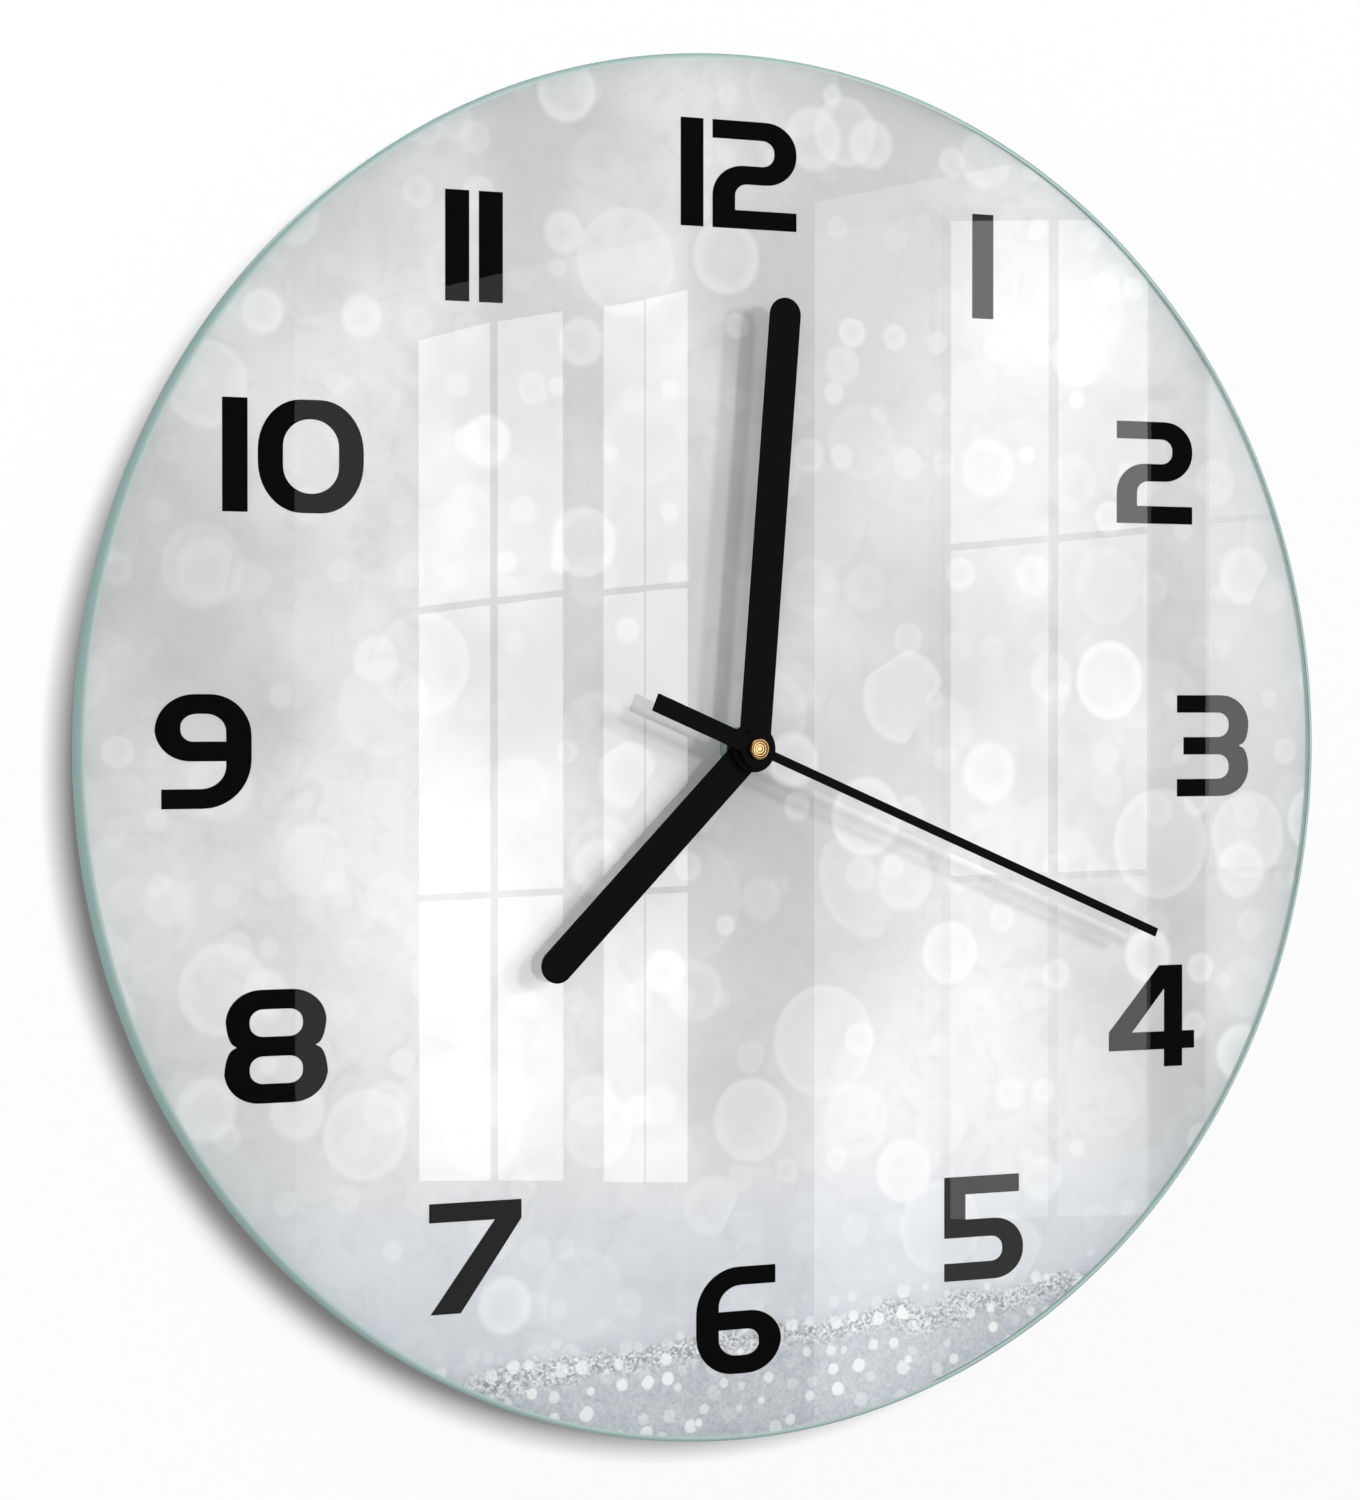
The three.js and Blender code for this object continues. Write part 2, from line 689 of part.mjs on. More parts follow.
// Second wheel with its pinion, pressed on the steel second arbor
function secondWheel() {
  const front = secondWheelOut + wheelThickness;
  const pinionFront = thirdWheelOut + wheelThickness + pinionOverlap - runningGap;
  return wheel(secondWheelTeeth, secondTrainModule, secondWheelPhase, secondWheelOut, front, centre)
    .add(pinion(secondPinionTeeth, thirdModule, secondPinionPhase, front - fuseDepth, pinionFront, centre))
    .subtract(hole(secondArborDiameter + 2 * pivotGap, secondWheelOut, pinionFront, centre));
}

// Third wheel, pinion and arbor, moulded in one
function thirdWheel() {
  const front = thirdWheelOut + wheelThickness;
  const pinionFront = centreWheelOut + wheelThickness + pinionOverlap;
  return wheel(thirdWheelTeeth, thirdModule, thirdWheelPhase, thirdWheelOut, front, thirdCentre)
    .add(pinion(thirdPinionTeeth, centreModule, thirdPinionPhase, front - fuseDepth, pinionFront,
      thirdCentre))
    .add(rod(arborDiameter, arborBack, pivotFront, thirdCentre));
}

// Intermediate wheel, pinion and arbor, moulded in one
function intermediateWheel() {
  const front = intermediateWheelOut + wheelThickness;
  const spot = intermediateCentre;
  return wheel(intermediateWheelTeeth, rotorModule, intermediateWheelPhase, intermediateWheelOut, front, spot)
    .add(pinion(intermediatePinionTeeth, secondTrainModule, intermediatePinionPhase, front - fuseDepth,
      statorOut - seatGap, spot))
    .add(rod(arborDiameter, arborBack, pivotFront, spot));
}

// Rotor pinion and shaft
function rotorPinion() {
  const back = intermediateWheelOut - pinionOverlap;
  const front = intermediateWheelOut + wheelThickness + pinionOverlap;
  return pinion(rotorPinionTeeth, rotorModule, rotorPhase, back, front, rotorCentre)
    .add(rod(rotorShaftDiameter, arborBack, pivotFront, rotorCentre));
}

// Ring magnet on the rotor shaft
function rotorMagnet() {
  const inner = rotorShaftDiameter / 2 + pivotGap;
  return ring(magnetDiameter / 2, inner, magnetOut, magnetOut + magnetLength, smallFacets, rotorCentre);
}

// Centre wheel, held by friction on the neck of the cannon pinion
function centreWheel() {
  const front = centreWheelOut + wheelThickness;
  return wheel(centreWheelTeeth, centreModule, centreWheelPhase, centreWheelOut, front, centre)
    .subtract(hole(cannonPipeDiameter + 2 * pivotGap, centreWheelOut, front, centre, roundFacets));
}

// Back of the pinions that mesh with the minute-work wheel
const motionPinionBack = minuteWorkWheelOut - pinionOverlap + runningGap;

// Cannon pinion with the pipe that carries the minute hand
function cannonPinion() {
  const pinionFront = motionPinionBack + cannonPinionThickness;
  return pinion(cannonPinionTeeth, minuteWorkModule, cannonPhase, motionPinionBack, pinionFront, centre)
    .add(rod(cannonPipeDiameter, centreWheelOut, cannonPipeFront, centre, roundFacets))
    .subtract(hole(secondArborDiameter + 2 * pipeGap, centreWheelOut, cannonPipeFront, centre));
}

// Minute-work wheel and pinion, running on a post of the front case
function minuteWorkWheel() {
  const front = minuteWorkWheelOut + minuteWorkWheelThickness;
  const pinionFront = hourWheelOut + minuteWorkWheelThickness + pinionOverlap;
  const spot = minuteWorkCentre;
  return wheel(minuteWorkWheelTeeth, minuteWorkModule, minuteWorkPhase, minuteWorkWheelOut, front, spot)
    .add(pinion(minuteWorkPinionTeeth, hourModule, minuteWorkPinionPhase, front - fuseDepth,
      pinionFront, spot))
    .subtract(hole(postDiameter + 2 * runningGap, minuteWorkWheelOut, pinionFront, spot));
}

// Hour wheel with the pipe that carries the hour hand
function hourWheel() {
  const front = hourWheelOut + minuteWorkWheelThickness;
  return wheel(hourWheelTeeth, hourModule, hourWheelPhase, hourWheelOut, front, centre)
    .add(rod(hourPipeDiameter, hourWheelOut, hourPipeFront, centre, roundFacets))
    .subtract(hole(cannonPipeDiameter + 2 * runningGap, hourWheelOut, hourPipeFront, centre, roundFacets));
}

// Levels of the knob: its dished back, its front face and the floor of its stem hole
const knobBack = knobRecess;
const knobFront = knobBack + knobThickness;
const knobStemBack = knobBack + knobDishDepth;

// Setting stem with its pinion, from the knob to a pivot in the front case
function settingStem() {
  const pinionFront = motionPinionBack + cannonPinionThickness;
  const spot = settingCentre;
  return pinion(settingPinionTeeth, minuteWorkModule, settingPhase, motionPinionBack, pinionFront, spot)
    .add(rod(stemDiameter, knobStemBack + endShake, pivotFront, spot));
}

// Fluted knob with a dished back, pressed on the end of the stem
function settingKnob() {
  const corners = [];
  for (let i = 0; i < knobFlutes * 2; i += 1) {
    const radius = knobDiameter / 2 - (i % 2) * knobFluteDepth;
    corners.push(polar(radius, (i * 180) / knobFlutes).add(settingCentre));
  }
  const dishOuter = knobDiameter / 2 - knobRimWidth;
  const dishInner = stemDiameter / 2 + knobHubWall;
  return plate(new THREE.Shape(corners), knobBack, knobFront)
    .subtract(ring(dishOuter, dishInner, knobBack - cutPast, knobBack + knobDishDepth, roundFacets,
      settingCentre))
    .subtract(rod(stemDiameter + 2 * pivotGap, knobStemBack, knobFront + cutPast, settingCentre));
}

// A through hole for one of the motor's screws
function motorScrewHole(spot, back, front) {
  return hole(screwShankDiameter + 2 * runningGap, back, front, spot);
}

// Stator: a bar with a ring round the rotor and a leg up to each end of the coil
function stator() {
  const legTop = coilHeight + coreHeight / 2;
  const left = legCentres[0] - legWidth / 2;
  const right = legCentres[1] + legWidth / 2;
  const barBottom = rotorCentre.y - statorBarHeight / 2;
  const barTop = rotorCentre.y + statorBarHeight / 2;
  const shape = new THREE.Shape();
  shape.moveTo(left, barBottom);
  shape.lineTo(right, barBottom);
  shape.lineTo(right, legTop);
  shape.lineTo(right - legWidth, legTop);
  shape.lineTo(right - legWidth, barTop);
  shape.lineTo(left + legWidth, barTop);
  shape.lineTo(left + legWidth, legTop);
  shape.lineTo(left, legTop);
  shape.closePath();
  const bore = magnetDiameter + 2 * statorBoreGap;
  let body = plate(shape, statorOut, statorFront)
    .add(rod(bore + 2 * statorRingWidth, statorOut, statorFront, rotorCentre, roundFacets))
    .subtract(hole(bore, statorOut, statorFront, rotorCentre, roundFacets));
  for (const spot of motorScrewSpots) body = body.subtract(motorScrewHole(spot, statorOut, statorFront));
  return body;
}

// Iron core across both legs, through the coil
function coilCore() {
  let core = block(legCentres[0] - legWidth / 2, coilHeight - coreHeight / 2, legCentres[1] + legWidth / 2,
    coilHeight + coreHeight / 2, statorFront, coreFront);
  for (const spot of motorScrewSpots) core = core.subtract(motorScrewHole(spot, statorFront, coreFront));
  return core;
}

// Ends of the coil between the stator's legs
const coilLeft = legCentres[0] + legWidth / 2 + coilLegGap;
const coilRight = legCentres[1] - legWidth / 2 - coilLegGap;

// A block round the core that is larger all round by a margin
function roundCore(margin, left, right) {
  const halfHeight = coreHeight / 2 + margin;
  return block(left, coilHeight - halfHeight, right, coilHeight + halfHeight, statorFront - margin,
    coreFront + margin);
}

// A cylinder across the clock, on the core's axis
function acrossDisc(radius, from, to) {
  return turnedAcross([[0, from], [radius, from], [radius, to], [0, to]], coilOut, coilHeight);
}

// Bobbin: a flat sleeve round the core with a round flange at each end
function coilBobbin() {
  const radius = coilDiameter / 2;
  return roundCore(sleeveGap + bobbinWall, coilLeft, coilRight)
    .add(acrossDisc(radius, coilLeft, coilLeft + bobbinWall))
    .add(acrossDisc(radius, coilRight - bobbinWall, coilRight))
    .subtract(roundCore(sleeveGap, coilLeft - cutPast, coilRight + cutPast));
}

// Copper winding between the flanges
function coilWinding() {
  const from = coilLeft + bobbinWall + runningGap;
  const to = coilRight - bobbinWall - runningGap;
  return acrossDisc(coilDiameter / 2 - bobbinWall, from, to)
    .subtract(roundCore(sleeveGap + bobbinWall + runningGap, from - cutPast, to + cutPast));
}

// A screw whose head bears on a face and whose shank goes forward into its pillar
function screw(spot, face, shankFront) {
  const head = screwHeadDiameter / 2;
  const shank = screwShankDiameter / 2;
  return turned([
    [0, face - screwHeadHeight],
    [head - screwHeadEdge, face - screwHeadHeight],
    [head, face - screwHeadHeight + screwHeadEdge],
    [head, face],
    [shank, face],
    [shank, shankFront],
    [0, shankFront],
  ], smallFacets, spot);
}

// Circuit board, with a hole for its screw
function circuitBoard() {
  return block(boardLeft, boardBottom, boardLeft + boardWidth, boardTop, boardOut, boardFront)
    .subtract(hole(screwShankDiameter + 2 * runningGap, boardOut, boardFront, boardPillars[1]));
}

// Drop of resin over the clock chip: a low dome with an elliptic profile
function chipCover() {
  const steps = 3;
  const profile = [[0, boardOut]];
  for (let step = 0; step <= steps; step += 1) {
    const angle = (step * Math.PI) / (2 * steps);
    const radius = step === steps ? 0 : (chipDiameter / 2) * Math.cos(angle);
    profile.push([radius, boardOut - chipHeight * Math.sin(angle)]);
  }
  return turned(profile, smallFacets, new THREE.Vector2(boardLeft + chipFromLeft, boardMiddle));
}

// Quartz crystal in its can, lying along the board's lower edge
function quartzCrystal() {
  const radius = crystalDiameter / 2;
  const from = boardLeft + crystalFromLeft;
  const to = from + crystalLength;
  return turnedAcross([
    [0, from],
    [radius, from],
    [radius, to - crystalEdge],
    [radius - crystalEdge, to],
    [0, to],
  ], boardOut - seatGap - radius, boardBottom + radius);
}

// Dry cell with its raised positive end and rolled rims
function dryCell() {
  const radius = cellDiameter / 2;
  const nub = cellNubDiameter / 2;
  const shoulder = cellRight - cellNubLength;
  return turnedAcross([
    [0, cellLeft],
    [radius - cellEdge, cellLeft],
    [radius, cellLeft + cellEdge],
    [radius, shoulder - cellEdge],
    [radius - cellEdge, shoulder],
    [nub, shoulder],
    [nub, cellRight - cellNubEdge],
    [nub - cellNubEdge, cellRight],
    [0, cellRight],
  ], cellOut, cellHeight, roundFacets);
}

// A contact: a broad strip behind the cell's end, lapped by a narrower one that goes on to the board
function contact(lower, upper) {
  const padBack = cellOut - contactPad / 2;
  return strip(lower, contactThickness, padBack, contactFront)
    .add(strip(upper, contactThickness, contactOut, contactFront));
}

// Negative contact: a springy tongue against the cell, a strip up the side and a tab on the board
function negativeContact() {
  const wallX = innerLeft + seatGap + contactThickness / 2;
  const touchX = cellLeft - seatGap - contactThickness / 2;
  const tabX = boardPillars[0].x - pillarDiameter / 2 - seatGap;
  const bendTop = bayTop - 2 * seatGap - contactThickness - contactLap;
  return contact([
    [wallX + 2 * contactThickness, bayBottom + innerCornerRadius],
    [touchX, cellHeight - contactPad / 2],
    [touchX, cellHeight + contactPad / 2],
    [wallX, bendTop],
    [wallX, bendTop + contactLap],
  ], [
    [wallX, bendTop],
    [wallX, boardMiddle],
    [tabX, boardMiddle],
  ]);
}

// Positive contact: a flat strip up the other side, along the top and down to the board
function positiveContact() {
  const wallX = innerRight - seatGap - contactThickness / 2;
  const topZ = innerTop - seatGap - contactThickness / 2;
  const tabX = boardPillars[1].x - pillarDiameter / 2 - 2 * seatGap;
  const lapTop = bayTop - seatGap;
  return contact([
    [wallX, bayBottom + innerCornerRadius],
    [wallX, lapTop],
  ], [
    [wallX, lapTop - contactLap],
    [wallX, topZ - innerCornerRadius],
    [wallX - innerCornerRadius, topZ],
    [tabX, topZ],
    [tabX, boardMiddle],
  ]);
}

// A bar with a round end from the hub up to its length, on a round hub with a hole for its bush
function barHand(length, width, pipeDiameter, back, front) {
  const half = width / 2;
  const shape = new THREE.Shape();
  shape.moveTo(-half, 0);
  shape.lineTo(half, 0);
  shape.lineTo(half, length - half);
  shape.absarc(0, length - half, half, 0, Math.PI);
  shape.closePath();
  const opening = pipeDiameter + 2 * handSpigotWall + 4 * pivotGap;
  return plate(shape, back, front)
    .add(rod(handHubDiameter, back, front, centre, roundFacets))
    .subtract(hole(opening, back, front, centre, roundFacets));
}

// Stepped brass ring that grips a hand on its pipe
function handBush(pipeDiameter, back, plateBack, front) {
  const bore = pipeDiameter / 2 + pivotGap;
  return turned([
    [bore, back],
    [bore + handCollarWall, back],
    [bore + handCollarWall, plateBack],
    [bore + handSpigotWall, plateBack],
    [bore + handSpigotWall, front],
    [bore, front],
  ]);
}

// Outer diameter of the sleeve that grips the second arbor
const capSleeveDiameter = secondArborDiameter + 2 * capSleeveWall;

// Second hand: slim arm, wider tail and a small hub
function secondHand() {
  const back = secondPlateBack;
  const front = secondPlateFront;
  return block(-secondHandWidth / 2, 0, secondHandWidth / 2, secondHandLength, back, front)
    .add(block(-tailWidth / 2, -tailLength, tailWidth / 2, 0, back, front))
    .add(rod(secondHubDiameter, back, front, centre, roundFacets))
    .subtract(hole(capSleeveDiameter + 2 * pivotGap, back, front, centre, roundFacets));
}

// Turned brass cap and its sleeve, pressed on the end of the second arbor
function secondHandCap() {
  const bore = secondArborDiameter / 2 + pivotGap;
  const sleeve = capSleeveDiameter / 2;
  const radius = capDiameter / 2;
  const arc = [0, 1, 2].map((step) => {
    const angle = (step * Math.PI) / 4;
    return [radius - capEdge + capEdge * Math.cos(angle), capFront - capEdge + capEdge * Math.sin(angle)];
  });
  return turned([
    [bore, secondSleeveBack],
    [sleeve, secondSleeveBack],
    [sleeve, secondPlateFront],
    [radius, secondPlateFront],
    ...arc,
    [0, capFront],
    [0, capBoreFront],
    [bore, capBoreFront],
  ]);
}

// Finishes
const glass = { color: 0xcfe3dd, roughness: 0.05, metalness: 0 };
const print = { color: 0xdcdee0, roughness: 0.6, metalness: 0 };
const blackMetal = { color: 0x0d0d0e, roughness: 0.45, metalness: 0.3 };
const brass = { color: 0xc9a04e, roughness: 0.35, metalness: 0.9 };
const polishedBrass = { color: 0xd9a441, roughness: 0.25, metalness: 1 };
const steel = { color: 0xb8babd, roughness: 0.3, metalness: 0.9 };
const iron = { color: 0x929294, roughness: 0.4, metalness: 0.9 };
const magnet = { color: 0x4a4a4e, roughness: 0.4, metalness: 0.6 };
const copper = { color: 0xb4622d, roughness: 0.35, metalness: 0.8 };
const whitePlastic = { color: 0xf1efe8, roughness: 0.5, metalness: 0 };
const blackPlastic = { color: 0x1b1b1c, roughness: 0.55, metalness: 0 };
const rubber = { color: 0x1c1c1c, roughness: 0.9, metalness: 0 };
const laminate = { color: 0x2f6b3c, roughness: 0.5, metalness: 0 };
const resin = { color: 0x111111, roughness: 0.35, metalness: 0 };
const cellSleeve = { color: 0x3a3d42, roughness: 0.35, metalness: 0.4 };

piece('glass_dial', glassDial(), glass);
piece('dial_print', dialPrint(), print);
piece('ring_nut', ringNut(), blackMetal);
piece('threaded_bush', threadedBush(), brass);
piece('rubber_washer', ring(washerDiameter / 2, bushDiameter / 2 + pivotGap, caseDepth, washerFront), rubber);
piece('front_case', frontCase(), blackPlastic);
piece('rear_cover', rearCover(), blackPlastic);
piece('second_wheel', secondWheel(), whitePlastic);
piece('second_arbor', rod(secondArborDiameter, arborBack, capBoreFront - endShake, centre), steel);
piece('third_wheel', thirdWheel(), whitePlastic);
piece('intermediate_wheel', intermediateWheel(), whitePlastic);
piece('rotor_pinion', rotorPinion(), whitePlastic);
piece('rotor_magnet', rotorMagnet(), magnet);
piece('centre_wheel', centreWheel(), whitePlastic);
piece('cannon_pinion', cannonPinion(), brass);
piece('minute_work_wheel', minuteWorkWheel(), whitePlastic);
piece('hour_wheel', hourWheel(), whitePlastic);
piece('setting_stem', settingStem(), whitePlastic);
piece('setting_knob', settingKnob(), blackPlastic);
piece('stator', stator(), iron);
piece('coil_core', coilCore(), iron);
piece('coil_bobbin', coilBobbin(), whitePlastic);
piece('coil_winding', coilWinding(), copper);
piece('motor_screw_left', screw(motorScrewSpots[0], statorOut, coreFront + screwReach), steel);
piece('motor_screw_right', screw(motorScrewSpots[1], statorOut, coreFront + screwReach), steel);
piece('circuit_board', circuitBoard(), laminate);
piece('board_screw', screw(boardPillars[1], boardOut, boardFront + screwReach), steel);
piece('chip_cover', chipCover(), resin);
piece('quartz_crystal', quartzCrystal(), steel);
piece('dry_cell', dryCell(), cellSleeve);
piece('negative_contact', negativeContact(), steel);
piece('positive_contact', positiveContact(), steel);
piece('hour_hand', barHand(hourHandLength, hourHandWidth, hourPipeDiameter, hourPlateBack, hourPlateFront),
  blackMetal, hourHandAngle);
piece('hour_hand_bush', handBush(hourPipeDiameter, hourCollarBack, hourPlateBack, hourPipeFront), brass);
piece('minute_hand', barHand(minuteHandLength, minuteHandWidth, cannonPipeDiameter, minutePlateBack,
  minutePlateFront), blackMetal, minuteHandAngle);
piece('minute_hand_bush', handBush(cannonPipeDiameter, minuteCollarBack, minutePlateBack, cannonPipeFront),
  brass);
piece('second_hand', secondHand(), blackMetal, secondHandAngle);
piece('second_hand_cap', secondHandCap(), polishedBrass);

const clock = new THREE.Group();
clock.add(...parts);
export default clock;
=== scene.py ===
import math

import bmesh
import bpy
import numpy as np
from mathutils import Matrix, Vector
from mathutils.geometry import tessellate_polygon


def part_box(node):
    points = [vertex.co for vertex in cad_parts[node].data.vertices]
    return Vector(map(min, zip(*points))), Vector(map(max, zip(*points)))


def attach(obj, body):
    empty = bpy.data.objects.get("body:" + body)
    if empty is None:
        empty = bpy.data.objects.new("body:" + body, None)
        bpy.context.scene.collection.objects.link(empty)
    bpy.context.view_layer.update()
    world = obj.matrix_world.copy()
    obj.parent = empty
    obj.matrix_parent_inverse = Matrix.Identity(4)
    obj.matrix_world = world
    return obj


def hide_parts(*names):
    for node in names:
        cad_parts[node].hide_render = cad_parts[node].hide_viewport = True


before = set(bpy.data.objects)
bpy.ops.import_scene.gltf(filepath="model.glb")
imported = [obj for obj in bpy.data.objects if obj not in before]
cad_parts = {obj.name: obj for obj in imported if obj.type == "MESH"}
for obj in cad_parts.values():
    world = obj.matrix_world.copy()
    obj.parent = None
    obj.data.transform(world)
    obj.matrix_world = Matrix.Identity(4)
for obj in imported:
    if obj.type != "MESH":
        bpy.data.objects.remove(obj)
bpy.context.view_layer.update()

# Round glass wall clock. Metres. X points right and Z up as the clock is seen, the dial faces -Y,
# and y = 0 is the wall. Lengths below are in millimetres unless their name says otherwise, and
# "out" is a distance in front of the wall.

# Camera
# The viewpoint of the photograph: to the left of the clock and level with the hands, with the lens
# long enough to show the disc almost without perspective.
MM = 0.001
VIEW_DISTANCE = 850.0
VIEW_AZIMUTH = -26.718
VIEW_ELEVATION = 0.676
VIEW_ASIDE = -14.144
VIEW_ABOVE = -0.315
FOCAL_PIXELS = 3928.5
IMAGE_WIDTH_PIXELS = 1360
IMAGE_HEIGHT_PIXELS = 1500
DIAL_FRONT_OUT = -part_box("glass_dial")[0][1] / MM

azimuth, elevation = math.radians(VIEW_AZIMUTH), math.radians(VIEW_ELEVATION)
view_back = Vector((math.sin(azimuth) * math.cos(elevation), -math.cos(azimuth) * math.cos(elevation),
                    math.sin(elevation)))
view_right = Vector((math.cos(azimuth), math.sin(azimuth), 0))
view_up = view_back.cross(view_right)
camera_place = view_back * VIEW_DISTANCE + view_right * VIEW_ASIDE + view_up * VIEW_ABOVE
camera_place += Vector((0, -DIAL_FRONT_OUT, 0))
lens = bpy.data.cameras.new("camera")
lens.sensor_fit = "AUTO"
lens.sensor_width = 36.0
lens.lens = lens.sensor_width * FOCAL_PIXELS / max(IMAGE_WIDTH_PIXELS, IMAGE_HEIGHT_PIXELS)
camera = bpy.data.objects.new("camera", lens)
camera.matrix_world = Matrix.Translation(camera_place * MM) @ Matrix(
    (view_right, view_up, view_back)).transposed().to_4x4()
bpy.context.scene.collection.objects.link(camera)
bpy.context.scene.camera = camera
bpy.context.scene.view_settings.view_transform = "Standard"


# Glass dial
# A disc of 5 mm soda-lime float glass, cut round, its edge ground to a round and polished, with a
# drilled hole for the bush. It is clamped between the rubber washer and the ring nut.
DIAL_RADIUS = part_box("glass_dial")[1][0] / MM
DIAL_BACK_OUT = -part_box("glass_dial")[1][1] / MM
EDGE_ROUNDING = 1.0
FRONT_ROUNDING = 1.5
HOLE_RADIUS = 4.3
HOLE_CHAMFER = 0.25
FLAT_RING = 0.3
FACE_NORMAL = 0.99
DIAL_SEGMENTS = 480
GLASS_GREEN = "#A8CFC4"
GLASS_DENSITY = 3.5
GLASS_IOR = 1.52
# Painted light and shade on the ground edge, palest at the front arris: share of the way from the front to
# the back, and code
EDGE_PAINTED_LIGHT_TONES = ((0.0, "#ABBDBA"), (0.05, "#97ADAA"), (0.12, "#8FA9A5"), (0.3, "#97B5B1"), (1.0, "#95B1AD"))


def linear(code):
    """An sRGB hex colour as linear red, green, blue and 1: c / 12.92, or ((c + 0.055) / 1.055) ** 2.4."""
    parts = [int(code[i:i + 2], 16) / 255 for i in (1, 3, 5)]
    return tuple(c / 12.92 if c <= 0.04045 else ((c + 0.055) / 1.055) ** 2.4 for c in parts) + (1.0,)


def new_material(name):
    """An empty material that uses nodes."""
    material = bpy.data.materials.new(name)
    material.use_nodes = True
    material.node_tree.nodes.clear()
    return material


def add_node(material, kind, inputs=None, **settings):
    """Adds one node with its settings; each input is a value, or an output socket to link."""
    tree = material.node_tree
    made = tree.nodes.new("ShaderNode" + kind)
    for name, value in settings.items():
        setattr(made, name, value)
    for key, value in (inputs or {}).items():
        if isinstance(value, bpy.types.NodeSocket):
            tree.links.new(value, made.inputs[key])
        else:
            made.inputs[key].default_value = value
    return made


def glassy(material, inputs):
    """Ends a glass: its surface, and inside it the faint green that light takes on along its way."""
    surface = add_node(material, "BsdfPrincipled", {"IOR": GLASS_IOR, **inputs}).outputs[0]
    green_inside = add_node(material, "VolumeAbsorption", {
        "Color": linear(GLASS_GREEN), "Density": GLASS_DENSITY}).outputs[0]
    add_node(material, "OutputMaterial", {"Surface": surface, "Volume": green_inside})


def grid_faces(rows, columns):
    """Quads between neighbouring rows and columns of a grid; the last column meets the first."""
    i, j = np.meshgrid(np.arange(rows - 1), np.arange(columns), indexing="ij")
    after = (j + 1) % columns
    low, high = i * columns, (i + 1) * columns
    quads = np.stack([low + j, low + after, high + after, high + j], -1)
    return quads.reshape(-1, 4).tolist()


def make_piece(name, points, faces, body, slot, material, crease=30.0):
    """A closed mesh of points in mm: near points merged, faces turned outwards, creases kept sharp."""
    mesh = bpy.data.meshes.new(name)
    mesh.from_pydata((np.asarray(points, float) * MM).tolist(), [], faces)
    work = bmesh.new()
    work.from_mesh(mesh)
    bmesh.ops.remove_doubles(work, verts=work.verts, dist=1e-7)
    bmesh.ops.dissolve_degenerate(work, edges=work.edges, dist=1e-7)
    bmesh.ops.recalc_face_normals(work, faces=work.faces)
    work.to_mesh(mesh)
    work.free()
    mesh.shade_smooth()
    mesh.set_sharp_from_angle(angle=math.radians(crease))
    mesh.materials.append(material)
    piece = bpy.data.objects.new(name, mesh)
    flat_faces = piece.modifiers.new("flat_faces_shade_flat", "WEIGHTED_NORMAL")
    flat_faces.keep_sharp = True
    bpy.context.scene.collection.objects.link(piece)
    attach(piece, body)
    return piece


def arc(middle, radii, start, end, steps):
    """Points on an ellipse: middle + (a cos t, b sin t) for t from start to end in degrees."""
    turn = np.radians(np.linspace(start, end, steps + 1))
    return np.stack([middle[0] + radii[0] * np.cos(turn), middle[1] + radii[1] * np.sin(turn)], 1)


def turned(profile, segments=96):
    """A closed profile of (r, out) turned round the clock's axis: (r sin a, -out, r cos a)."""
    profile = np.vstack([profile, profile[:1]])
    turn = np.linspace(0, 2 * np.pi, segments, endpoint=False)
    r, out = profile[:, :1], profile[:, 1:]
    points = np.stack([r * np.sin(turn), -out + 0 * turn, r * np.cos(turn)], -1)
    return points.reshape(-1, 3), grid_faces(len(profile), segments)


# Float glass, polished: clear, with the green of its iron where light runs along the disc.
float_glass = new_material("float_glass_polished")
glassy(float_glass, {"Base Color": linear("#FFFFFF"), "Roughness": 0.0, "Transmission Weight": 1.0})

# The same glass where its edge is ground: satin, so that the green inside shows as a soft pale band;
# its colour also holds painted light and shade from front to back, palest at the front arris.
ground_edge = new_material("float_glass_ground_edge")
where = add_node(ground_edge, "TexCoord").outputs["Object"]
depth = add_node(ground_edge, "SeparateXYZ", {0: where}).outputs["Y"]
towards_back = add_node(ground_edge, "MapRange", {
    "Value": depth, "From Min": -DIAL_FRONT_OUT * MM, "From Max": -DIAL_BACK_OUT * MM}).outputs["Result"]
# Painted light and shade: the edge's green runs from a pale front arris to darker tones behind it.
green = add_node(ground_edge, "ValToRGB", {0: towards_back})
green.color_ramp.elements.remove(green.color_ramp.elements[1])
for stop, code in EDGE_PAINTED_LIGHT_TONES:
    mark = green.color_ramp.elements.new(stop) if stop else green.color_ramp.elements[0]
    mark.color = linear(code)
grinding = add_node(ground_edge, "TexNoise", {"Vector": where, "Scale": 1 / (0.8 * MM), "Detail": 2.0})
satin = add_node(ground_edge, "Bump", {
    "Height": grinding.outputs[0], "Strength": 0.15, "Distance": 0.02 * MM}).outputs[0]
glassy(ground_edge, {"Base Color": green.outputs[0], "Roughness": 0.35, "Transmission Weight": 0.05,
                     "Normal": satin})

